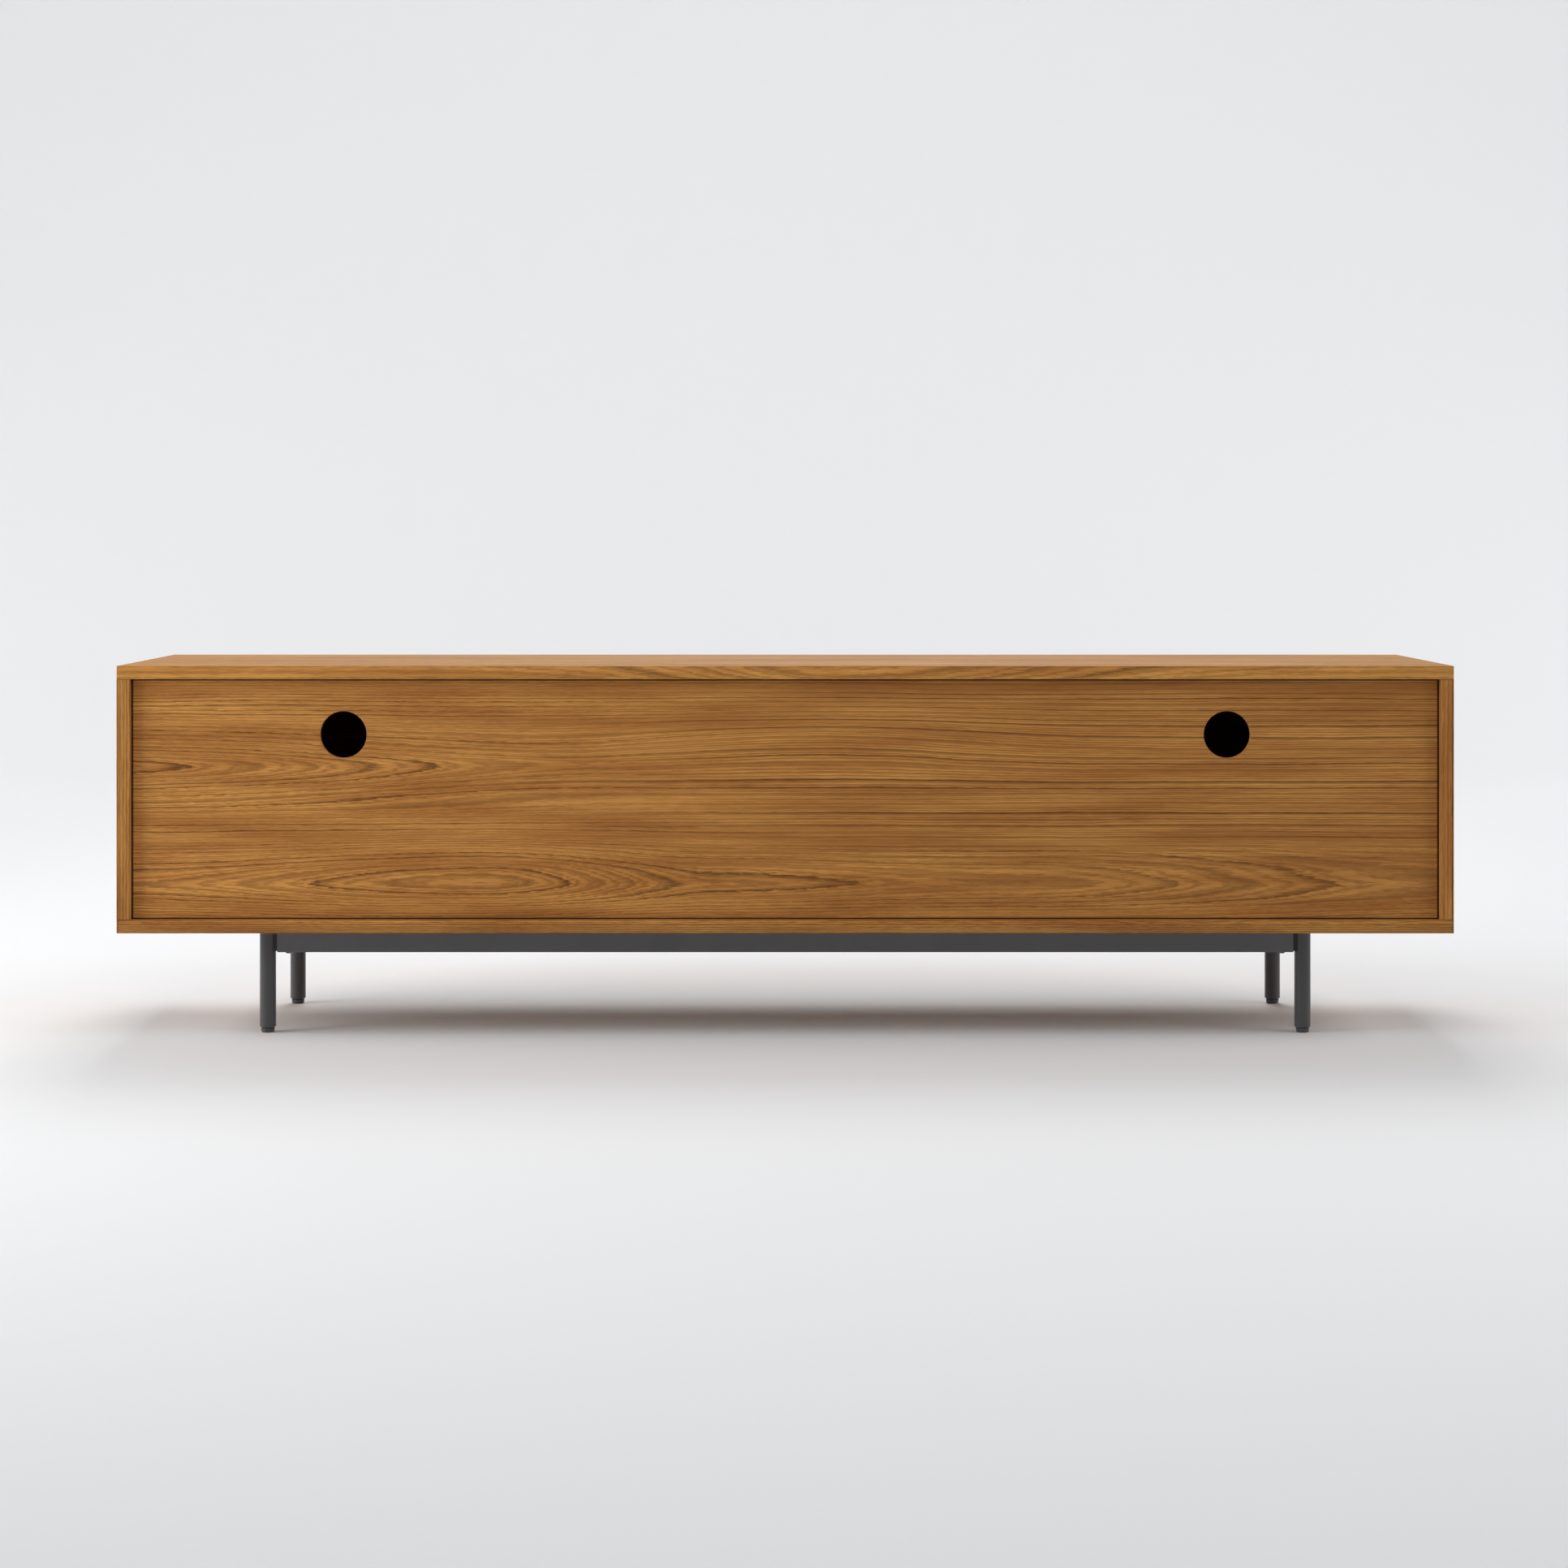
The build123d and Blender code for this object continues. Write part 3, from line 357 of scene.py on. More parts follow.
@dataclass(frozen=True)
class Heart:
    """The middle line of a flat-cut leaf, which the rings nest around in ovals and flames.

    Attributes:
        v: Where the line lies across the grain, in mm.
        start: The ring height on the line before any climb.
        climbs: Each climb of the ring height: from this u, to this u, by so many rings.
        half_width: How far the flames reach across the grain, in mm.
        crowding: How far from the line one more ring has crowded in, in mm.
        spread: How much wider than usual the rings lie beside the line.
    """

    v: float
    start: float
    climbs: tuple[tuple[float, float, float], ...]
    half_width: float = 60.0
    crowding: float = 45.0
    spread: float = 1.0

    def height(self, w: Wires, u: Value, v: Value, spacing: float) -> Socket:
        """Work out the ring height that this heart makes at a point.

        Args:
            w: The material being wired.
            u: The place along the grain, in mm.
            v: The place across it, in mm.
            spacing: The usual distance between growth lines, in mm.

        Returns:
            The height, counted in rings.
        """
        off = w.add(v, -self.v)
        near = w.times(off, 1 / (spacing * self.spread))
        cone = w.math("SQRT", w.add(w.math("POWER", near, 2.0), 1.0))
        cone = w.add(cone, w.math("POWER", w.times(off, 1 / self.crowding), 2.0))
        line: Value = self.start
        for begin, end, rings in self.climbs:
            if begin < end:
                line = w.add(w.step(u, begin, end, 0.0, rings), line)
            else:
                line = w.add(w.step(u, end, begin, rings, 0.0), line)
        reach = w.math("POWER", w.times(off, 1 / self.half_width), 2.0)
        fade = w.math("EXPONENT", w.times(reach, -1.0))
        return w.add(cone, w.times(fade, line))


@dataclass(frozen=True)
class Seam:
    """A dark hairline where two leaves or boards meet; the wide, deep ones on the back are
    painted shade.

    Attributes:
        axis: The axis that it is square to.
        at: Its place along that axis, in mm.
        half_width: How far its dark reaches to each side, in mm.
        depth: How dark it is, from 0 to 1.
        core: The part of that reach that is darkest.
    """

    axis: Axis
    at: float
    half_width: float = 0.6
    depth: float = 0.75
    core: float = 0.4


@dataclass(frozen=True)
class Grain:
    """How a veneer leaf is cut.

    Attributes:
        spacing: The usual distance between growth lines, in mm.
        hearts: The leaves' middle lines, if they are flat-cut.
        arches: Where the lines bow.
        calm: Where straight lines take the figure's place: all of it where this is 1 high.
        straight: How far apart those straight lines are, in mm.
        waves: How far the lines wander, in mm.
        seed: Which leaf it is.
        shade: A factor on the leaf's lightness.
        painted_light_drift: How much lighter the leaf gets in each metre along the grain; this is
            painted light, lighter where the stronger light falls.
        streaks: How strong the dark growth lines are.
        fine: How strong the fine lines between them are.
        seams: The dark hairlines on it, and its bands of painted shade.
    """

    spacing: float = 7.0
    hearts: tuple[Heart, ...] = ()
    arches: tuple[Arch, ...] = ()
    calm: Arch | None = None
    straight: float = 7.4
    waves: float = 14.0
    seed: float = 0.0
    shade: float = 1.0
    painted_light_drift: float = 0.0
    streaks: float = 1.0
    fine: float = 0.52
    seams: tuple[Seam, ...] = ()


@dataclass(frozen=True)
class Mottle:
    """A noise that is stretched along the grain.

    Attributes:
        along: How long its marks are along the grain, in mm.
        across: How wide they are across it, in mm.
        seed: What keeps it apart from the leaf's other noises.
        detail: How many finer layers it has.
        rough: How strong each finer layer is.
    """

    along: float
    across: float
    seed: float = 0.0
    detail: float = 2.0
    rough: float = 0.5

    def at(self, w: Wires, u: Value, v: Value, grain: Grain) -> Socket:
        """Work out the noise at a point.

        Args:
            w: The material being wired.
            u: The place along the grain, in mm.
            v: The place across it, in mm.
            grain: The leaf that it is on.

        Returns:
            The noise value, about 0.5 in the middle.
        """
        place = w.vector(w.times(u, 1 / self.along), w.times(v, 1 / self.across),
                         grain.seed + self.seed)
        return w.noise(place, 1.0, self.detail, self.rough)

    def sway(self, w: Wires, u: Value, v: Value, grain: Grain, most: float) -> Socket:
        """Work out a push to either side at a point.

        Args:
            w: The material being wired.
            u: The place along the grain, in mm.
            v: The place across it, in mm.
            grain: The leaf that it is on.
            most: How far apart the two furthest pushes would be.

        Returns:
            The push, about 0 in the middle.
        """
        return w.times(w.add(self.at(w, u, v, grain), -0.5), most)


@dataclass(frozen=True)
class Veneer:
    """Brown sliced veneer with dark growth lines, under satin lacquer.

    Attributes:
        light: The wood's lighter colour.
        warm: Its darker, redder colour.
        dark: The growth lines' colour.
        gap: The colour in a joint, and of the painted shade at the back's edges.
        roughness: How rough the lacquer is.
        gloss: How strong its shine is.
        bump_mm: How deep the open grain is, in mm.
        wander: How the lines wander.
        ripple: The smaller wander on top of it.
        pace: How the lines' spacing changes across the leaf.
        fray: How the lines' edges fray.
        fibre: The fibres' light and dark.
        pores: The open pores.
        cloud: Where the wood is light or warm.
        ripple_part: The ripple's strength as a part of the wander's.
        pace_mm: How far the pace pushes the lines, in mm.
        fray_rings: How far the fray pushes them, in rings.
        line_rise: Where in a ring its line starts to darken, and where it is darkest.
        line_fall: Where in a ring its line ends.
        line_power: How late the darkening comes.
        line_least: The faintest line's strength.
        fine_count: How many fine lines there are in two rings.
        fine_rise: Where a fine line starts to darken, and where it is darkest.
        calm_sway: How much of the uneven spacing the straight lines keep.
        calm_strength: How strong the straight lines are.
        fibre_rise: Which fibres count as the darkest and the lightest for the lines.
        line_on_fibre: The lines' strength on the darkest and on the lightest fibres.
        pore_rise: Where a pore starts, and where it is fully open.
        pore_depth: How dark an open pore is.
        depth: How much of the dark colour the darkest place takes.
        fibre_tone: The factors on the darkest and on the lightest fibres.
    """

    light: Colour = from_screen(209, 148, 76)
    warm: Colour = from_screen(179, 117, 57)
    dark: Colour = from_screen(78, 44, 18)
    gap: Colour = from_screen(20, 12, 6)
    roughness: float = 0.66
    gloss: float = 0.16
    bump_mm: float = 0.06
    wander: Mottle = Mottle(520.0, 70.0)
    ripple: Mottle = Mottle(90.0, 16.0, 7.0, 3.0)
    pace: Mottle = Mottle(math.inf, 45.0, 11.0, 1.0)
    fray: Mottle = Mottle(22.0, 1.6, 3.0, 3.0)
    fibre: Mottle = Mottle(38.0, 0.8, 19.0, 3.0, 0.6)
    pores: Mottle = Mottle(7.0, 0.35, 23.0)
    cloud: Mottle = Mottle(300.0, 22.0, 29.0, 3.0)
    ripple_part: float = 0.25
    pace_mm: float = 36.0
    fray_rings: float = 0.6
    line_rise: tuple[float, float] = (0.35, 0.92)
    line_fall: tuple[float, float] = (0.93, 1.0)
    line_power: float = 2.2
    line_least: float = 0.35
    fine_count: float = 5.0
    fine_rise: tuple[float, float] = (0.35, 0.95)
    calm_sway: float = 0.4
    calm_strength: float = 1.1
    fibre_rise: tuple[float, float] = (0.25, 0.6)
    line_on_fibre: tuple[float, float] = (0.65, 1.0)
    pore_rise: tuple[float, float] = (0.62, 0.74)
    pore_depth: float = 0.33
    depth: float = 0.9
    fibre_tone: tuple[float, float] = (0.86, 1.13)

    def wandered(self, w: Wires, u: Value, v: Value, grain: Grain) -> Socket:
        """Move a point across the grain as far as the lines wander there.

        Args:
            w: The material being wired.
            u: The place along the grain, in mm.
            v: The place across it, in mm.
            grain: How the leaf is cut.

        Returns:
            The moved place across the grain, in mm.
        """
        return w.add(v, self.wander.sway(w, u, v, grain, grain.waves),
                     self.ripple.sway(w, u, v, grain, self.ripple_part * grain.waves))

    def rings(self, w: Wires, u: Value, v: Value, grain: Grain) -> Socket:
        """Work out the ring height at a point of a leaf.

        Args:
            w: The material being wired.
            u: The place along the grain, in mm.
            v: The place across it, in mm.
            grain: How the leaf is cut.

        Returns:
            The height, counted in rings.
        """
        height = w.times(v, 1 / grain.spacing)
        for i, heart in enumerate(grain.hearts):
            made = heart.height(w, u, v, grain.spacing)
            height = made if i == 0 else w.math("MINIMUM", height, made)
        for arch in grain.arches:
            height = w.add(height, arch.lift(w, u, v))
        return height

    def lines(self, w: Wires, height: Socket, grain: Grain) -> Socket:
        """Draw the growth lines of a field of ring heights.

        Args:
            w: The material being wired.
            height: The ring height.
            grain: How the leaf is cut.

        Returns:
            How dark the lines are, 1 where they are darkest.
        """
        part = w.math("FRACT", height)
        rise = w.math("POWER", w.step(part, *self.line_rise), self.line_power)
        fall = w.step(part, *self.line_fall, 1.0, 0.0)
        strength = w.math("MULTIPLY_ADD", w.chance(w.math("FLOOR", height), grain.seed),
                          1.0 - self.line_least, self.line_least)
        fine = w.step(w.math("PINGPONG", w.times(height, self.fine_count), 1.0), *self.fine_rise)
        return w.math("MAXIMUM", w.times(rise, fall, strength), w.times(fine, grain.fine))

    def figure(self, w: Wires, u: Value, v: Value, grain: Grain) -> Socket:
        """Draw the leaf's growth lines, with straight ones where it is calm.

        Args:
            w: The material being wired.
            u: The place along the grain, in mm.
            v: The place across it, in mm.
            grain: How the leaf is cut.

        Returns:
            How dark the lines are, 1 where they are darkest.
        """
        bent = self.wandered(w, u, v, grain)
        uneven = w.add(self.pace.sway(w, u, bent, grain, self.pace_mm / grain.spacing),
                       self.fray.sway(w, u, v, grain, self.fray_rings))
        line = self.lines(w, w.add(self.rings(w, u, bent, grain), uneven), grain)
        if grain.calm is None:
            return line
        arched = bent
        for arch in grain.arches:
            arched = w.add(arched, w.times(arch.lift(w, u, bent), grain.spacing))
        straight = self.lines(w, w.add(w.times(arched, 1 / grain.straight),
                                       w.times(uneven, self.calm_sway)), grain)
        amount = w.math("MINIMUM", grain.calm.lift(w, u, v), 1.0)
        return w.add(w.times(line, w.math("SUBTRACT", 1.0, amount)),
                     w.times(straight, amount, self.calm_strength))

    def leaf(self, w: Wires, u: Value, v: Value, grain: Grain) -> tuple[Socket, Socket]:
        """Draw one leaf.

        Args:
            w: The material being wired.
            u: The place along the grain, in mm.
            v: The place across it, in mm.
            grain: How the leaf is cut.

        Returns:
            Its colour and its height pattern.
        """
        line = self.figure(w, u, v, grain)
        fibre = self.fibre.at(w, u, v, grain)
        base = w.mix(w.step(self.cloud.at(w, u, v, grain), *SPREAD), self.warm, self.light)
        pore = w.step(self.pores.at(w, u, v, grain), *self.pore_rise, 0.0, self.pore_depth)
        lined = w.times(line, grain.streaks, w.step(fibre, *self.fibre_rise, *self.line_on_fibre))
        dark = w.math("MAXIMUM", lined, pore)
        colour = w.mix(w.times(dark, self.depth), base, self.dark)
        # Painted light: the leaf is made lighter along the grain, toward +X, where the stronger
        # light falls.
        painted_light_drift = w.math("MULTIPLY_ADD", u, grain.painted_light_drift / MM, grain.shade)
        tone = w.times(w.step(fibre, *SPREAD, *self.fibre_tone), painted_light_drift)
        return w.scale_colour(colour, tone), w.math("SUBTRACT", 1.0, dark)

    def seam(self, w: Wires, here: tuple[Socket, ...], colour: Socket, grain: Grain) -> Socket:
        """Draw a leaf's hairlines and its bands of painted shade over its colour.

        Args:
            w: The material being wired.
            here: The point's X, Y and Z, in mm.
            colour: The leaf's colour.
            grain: How the leaf is cut.

        Returns:
            The colour with its hairlines and painted shade.
        """
        for line in grain.seams:
            off = w.math("ABSOLUTE", w.add(here[line.axis.value], -line.at))
            dark = w.step(off, line.core * line.half_width, line.half_width, line.depth, 0.0)
            colour = w.mix(dark, colour, self.gap)
        return colour

    def board(self, name: str, faces: dict[Axis, tuple[Axis, Axis]],
              grains: dict[Axis, Grain]) -> bpy.types.Material:
        """Make a board's veneer.

        Args:
            name: The material's name.
            faces: For the faces square to each axis, the grain's axis and the one across it.
            grains: For the faces square to each axis, how their leaf is cut.

        Returns:
            The material.
        """
        w = Wires(name)
        here = w.place()
        nx, ny, nz = w.facing()
        on_x = w.times(w.math("GREATER_THAN", nx, ny), w.math("GREATER_THAN", nx, nz))
        on_y = w.times(w.math("GREATER_THAN", ny, nz), w.math("SUBTRACT", 1.0, on_x))
        on_z = w.math("SUBTRACT", 1.0, w.math("MAXIMUM", on_x, on_y))
        colours, heights = {}, {}
        for axis in Axis:
            along, across = faces[axis]
            colour, heights[axis] = self.leaf(w, here[along.value], here[across.value],
                                              grains[axis])
            colours[axis] = self.seam(w, here, colour, grains[axis])
        colour = w.mix(on_y, w.mix(on_x, colours[Axis.Z], colours[Axis.X]), colours[Axis.Y])
        bump = w.add(w.times(heights[Axis.X], on_x), w.times(heights[Axis.Y], on_y),
                     w.times(heights[Axis.Z], on_z))
        return w.finish(colour, self.roughness, bump, self.bump_mm, Specular_IOR_Level=self.gloss)


@dataclass(frozen=True)
class SolidPaint:
    """A metal or plastic surface: one colour with fine speckle and a slight texture.

    Attributes:
        colour: The surface's colour.
        roughness: How rough it is.
        metallic: 1 for uncoated metal, 0 for paint and plastic.
        speckle: How far the colour's factor strays.
        grain_mm: The size of the speckle, in mm.
        bump_mm: How high the speckle stands, in mm.
        broad_mm: The size of the broad patches, in mm.
        rough_sway: How far the roughness strays.
    """

    colour: Colour
    roughness: float
    metallic: float = 0.0
    speckle: float = 0.08
    grain_mm: float = 0.6
    bump_mm: float = 0.01
    broad_mm: float = 60.0
    rough_sway: float = 0.04

    def make(self, name: str) -> bpy.types.Material:
        """Make the material.

        Args:
            name: The material's name.

        Returns:
            The material.
        """
        w = Wires(name)
        at = w.node("ShaderNodeTexCoord").outputs["Object"]
        fine = w.noise(at, MM / self.grain_mm, 3.0)
        broad = w.noise(at, MM / self.broad_mm, 2.0)
        amount = w.add(w.step(fine, *SPREAD, -self.speckle, self.speckle),
                       w.step(broad, 0.35, 0.65, -self.speckle / 2, self.speckle / 2), 1.0)
        plain = w.node("ShaderNodeRGB")
        plain.outputs[0].default_value = (*self.colour, 1.0)
        colour = w.scale_colour(plain.outputs[0], amount)
        rough = w.step(fine, 0.2, 0.8, self.roughness - self.rough_sway,
                       self.roughness + self.rough_sway)
        return w.finish(colour, rough, fine, self.bump_mm, Metallic=self.metallic)


# --- Dressing the nodes ----------------------------------------------------------------
# For the faces square to each axis: the grain's axis and the one across it.
LYING = {Axis.X: (Axis.Y, Axis.Z), Axis.Y: (Axis.X, Axis.Z), Axis.Z: (Axis.X, Axis.Y)}
STANDING = {Axis.X: (Axis.Z, Axis.Y), Axis.Y: (Axis.Z, Axis.X), Axis.Z: (Axis.Y, Axis.X)}
UPRIGHT_SHEET = {Axis.X: (Axis.Z, Axis.Y), Axis.Y: (Axis.X, Axis.Z), Axis.Z: (Axis.X, Axis.Y)}
DEEP_BOX = {Axis.X: (Axis.Y, Axis.Z), Axis.Y: (Axis.X, Axis.Z), Axis.Z: (Axis.Y, Axis.X)}


def dress(material: bpy.types.Material, *nodes: str) -> None:
    """Give CAD nodes a material.

    Args:
        material: The finish.
        *nodes: The nodes' names.
    """
    for name in nodes:
        for slot in frame["nodes"][name].material_slots:
            slot.material = material
    log.info("%s on %s", material.name, ", ".join(nodes))


@dataclass
class Case:
    """The veneered case with its dividers, shelves and back.

    Attributes:
        veneer: The case's finish.
        pale: The top board's lighter leaf.
        lip: How far in from the case's outer sides the end hairlines are, in mm.
        board: How thick the boards are, in mm.
        edge: How the boards' short edges are cut.
        top: How the flat faces of the top and bottom are cut.
    """

    veneer: Veneer = Veneer()
    pale: Veneer = Veneer(light=from_screen(208, 150, 76), warm=from_screen(180, 122, 59))
    lip: float = 1.9
    board: float = 18.0
    edge: Grain = Grain(spacing=9.0, waves=10.0, seed=5.3)
    top: Grain = Grain(spacing=11.0, waves=40.0, seed=1.7, shade=0.95)

    def measure(self) -> tuple[float, float, float]:
        """Measure where the case's joints are.

        Returns:
            Half the distance between the end hairlines, and the heights of the sides' lower
            and upper ends, in mm.
        """
        low, high = (Vector(corner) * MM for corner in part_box("left_side_panel"))
        return max(abs(low.x), abs(high.x)) - self.lip, low.z, high.z

    def dress(self) -> None:
        """Dress the boards."""
        self.dress_top()
        self.dress_bottom()
        self.dress_sides()
        self.dress_inside()
        self.dress_back()

    def dress_top(self) -> None:
        """Dress the top, whose long edge has one broad flame."""
        flame = Arch(-84.0, 494.0, 330.0, 250.0, 70.0, 3.4)
        # Painted light: this edge gets lighter toward +X.
        long_edge = Grain(spacing=19.0, waves=6.0, seed=2.4, shade=1.1, painted_light_drift=0.08, streaks=0.9,
                          arches=(flame,))
        grains = {Axis.X: self.edge, Axis.Y: long_edge, Axis.Z: self.top}
        dress(self.pale.board("veneer_top", LYING, grains), "top_panel")

    def dress_bottom(self) -> None:
        """Dress the bottom, whose long edge has straight lines."""
        half, _, _ = self.measure()
        ends = (Seam(Axis.X, -half), Seam(Axis.X, half))
        # Painted light: this edge gets lighter toward +X.
        long_edge = Grain(spacing=4.2, waves=3.0, seed=8.1, painted_light_drift=0.09, streaks=1.5, seams=ends)
        grains = {Axis.X: self.edge, Axis.Y: long_edge, Axis.Z: self.top}
        dress(self.veneer.board("veneer_bottom", LYING, grains), "bottom_panel")

    def dress_sides(self) -> None:
        """Dress the sides, each with a tall heart on its face."""
        half, low, high = self.measure()
        seams = (Seam(Axis.X, -half), Seam(Axis.X, half), Seam(Axis.Z, low, 0.9),
                 Seam(Axis.Z, high, 0.9))
        long_edge = Grain(spacing=4.5, waves=5.0, seed=3.1, shade=0.95, seams=seams)
        heart = Heart(20.0, -3.0, ((320.0, 160.0, 3.0), (320.0, 500.0, 3.0)))
        face = Grain(spacing=8.0, waves=22.0, seed=12.0, hearts=(heart,))
        grains = {Axis.X: face, Axis.Y: long_edge, Axis.Z: self.edge}
        for name in ("left", "right"):
            dress(self.veneer.board(f"veneer_{name}_side", STANDING, grains),
                  f"{name}_side_panel")

    def dress_inside(self) -> None:
        """Dress the dividers and the shelves."""
        plain = dict.fromkeys(Axis, Grain(spacing=8.0, waves=30.0, seed=21.0))
        dress(self.veneer.board("veneer_inner_upright", STANDING, plain),
              "left_divider", "right_divider")
        dress(self.veneer.board("veneer_inner_lying", LYING, plain),
              "left_shelf", "right_shelf")

    def dress_back(self) -> None:
        """Dress the back, which has an upper flame and a lower heart in one long leaf, and
        painted shade along its four edges.
        """
        half, low, high = self.measure()
        inside = half + self.lip - self.board
        # Painted shade: wide, near-black bands along the back's four edges stand in for the shade
        # where it meets the sides, top and bottom.
        back_reveal_painted_shade = (Seam(Axis.X, -inside, 3.8, 0.95), Seam(Axis.X, inside, 3.8, 0.95),
                  Seam(Axis.Z, low, 2.8, 0.95), Seam(Axis.Z, high, 3.2, 0.95))
        flame = Heart(363.0, -3.6, ((960.0, 230.0, 6.4), (230.0, -900.0, 5.5)), 46.0,
                      spread=1.15)
        heart = Heart(212.0, -5.0, ((413.0, 900.0, 3.6), (413.0, 90.0, 5.0),
                                    (90.0, -300.0, 1.3), (-300.0, -900.0, 4.0)), 52.0)
        bow = Arch(-50.0, 405.0, 230.0, 260.0, 44.0, -1.9)
        # Painted light: the leaf gets lighter toward +X.
        leaf = Grain(spacing=8.0, waves=9.0, painted_light_drift=0.12, hearts=(flame, heart), arches=(bow,),
                     calm=Arch(-330.0, 375.0, 900.0, 480.0, 105.0, 1.9), seams=back_reveal_painted_shade)
        dress(self.veneer.board("veneer_back", UPRIGHT_SHEET, dict.fromkeys(Axis, leaf)),
              "back_panel")


@dataclass
class Fronts:
    """The doors and the drawer fronts.

    Attributes:
        veneer: The fronts' finish.
        edge: How their edges are cut.
    """

    veneer: Veneer = Veneer()
    edge: Grain = Grain(spacing=5.0, waves=5.0, seed=3.1)

    def dress(self) -> None:
        """Dress the fronts, each with a heart of its own."""
        hearts = {
            "left_door": Heart(330.0, -4.0, ((-700.0, -900.0, 3.0), (-700.0, -290.0, 6.0))),
            "right_door": Heart(310.0, -4.0, ((560.0, 290.0, 4.0), (560.0, 890.0, 5.0))),
            "upper_drawer_front": Heart(400.0, -4.0, ((60.0, -300.0, 5.0), (60.0, 300.0, 4.0))),
            "lower_drawer_front": Heart(240.0, -3.0,
                                        ((-80.0, -300.0, 3.0), (-80.0, 300.0, 5.0))),
        }
        for i, (name, heart) in enumerate(hearts.items()):
            face = Grain(spacing=8.0, waves=14.0, seed=30.0 + 5 * i, hearts=(heart,))
            grains = {Axis.X: self.edge, Axis.Y: face, Axis.Z: self.edge}
            dress(self.veneer.board(f"veneer_{name}", UPRIGHT_SHEET, grains), name)


@dataclass
class DrawerBoxes:
    """The two drawer boxes, and the dowels of the same pale wood.

    Attributes:
        wood: Their finish.
        grain: How the wood is cut.
    """

    wood: Veneer = Veneer(light=from_screen(214, 186, 144), warm=from_screen(203, 172, 128),
                          dark=from_screen(168, 132, 90), roughness=0.5)
    grain: Grain = Grain(spacing=9.0, waves=24.0, seed=40.0)

    def dress(self) -> None:
        """Dress the boxes and the dowels."""
        made = self.wood.board("drawer_box_wood", DEEP_BOX, dict.fromkeys(Axis, self.grain))
        for name in ("upper", "lower"):
            dress(made, *(f"{name}_drawer_{part}" for part in ("sides", "back", "bottom")))
        dress(made, "case_dowels")


@dataclass
class Metalwork:
    """The base, the hinges, the slides and the other hardware.

    Attributes:
        powder: The powder coat on the legs and knobs.
        rail_painted_light_powder: The legs' powder coat made lighter for the long rails; painted
            light, since the rails share the legs' finish.
        stub_painted_shade: The rail stubs' near-black finish: painted shade for the dark gap
            between each rail and its leg.
        plastic: The foot pads' plastic.
        zinc: The zinc plate on slides, plates and screws.
        nickel: The nickel plate on the bright parts.
    """

    powder: SolidPaint = SolidPaint(from_screen(74, 74, 76), 0.34, 0.0, 0.06, 0.5, 0.012)
    rail_painted_light_powder: SolidPaint = SolidPaint(from_screen(94, 96, 98), 0.36, 0.0, 0.06, 0.5, 0.012)
    stub_painted_shade: SolidPaint = SolidPaint(from_screen(26, 26, 27), 0.5, 0.0, 0.06, 0.5, 0.02)
    plastic: SolidPaint = SolidPaint(from_screen(74, 74, 75), 0.5, 0.0, 0.05, 0.8, 0.02)
    zinc: SolidPaint = SolidPaint((0.62, 0.63, 0.64), 0.32, 1.0, 0.06, 3.0, 0.005)
    nickel: SolidPaint = SolidPaint((0.70, 0.69, 0.66), 0.25, 1.0, 0.04, 2.0, 0.004)

    def dress(self) -> None:
        """Dress each metal and plastic node by its record slot."""
        finishes = {"black_steel": self.powder.make("powder_coat"),
                    "foot_plastic": self.plastic.make("foot_plastic"),
                    "zinc_steel": self.zinc.make("zinc_plate"),
                    "bright_steel": self.nickel.make("nickel_plate")}
        for drawer in ("upper", "lower"):
            BallCages(drawer).build(finishes["bright_steel"], finishes["zinc_steel"])
        for row in frame["record"]["subparts"]:
            if row["material_slot"] in finishes:
                dress(finishes[row["material_slot"]], row["node"])
        # Painted light: the rails get a lighter copy of the legs' powder coat.
        dress(self.rail_painted_light_powder.make("powder_coat_rails_painted_light"), "front_rail", "rear_rail")
        # Painted shade: the stubs are near black so that the gap between each rail and its leg
        # looks shaded.
        dress(self.stub_painted_shade.make("rail_stub_painted_shade"), "rail_stubs")


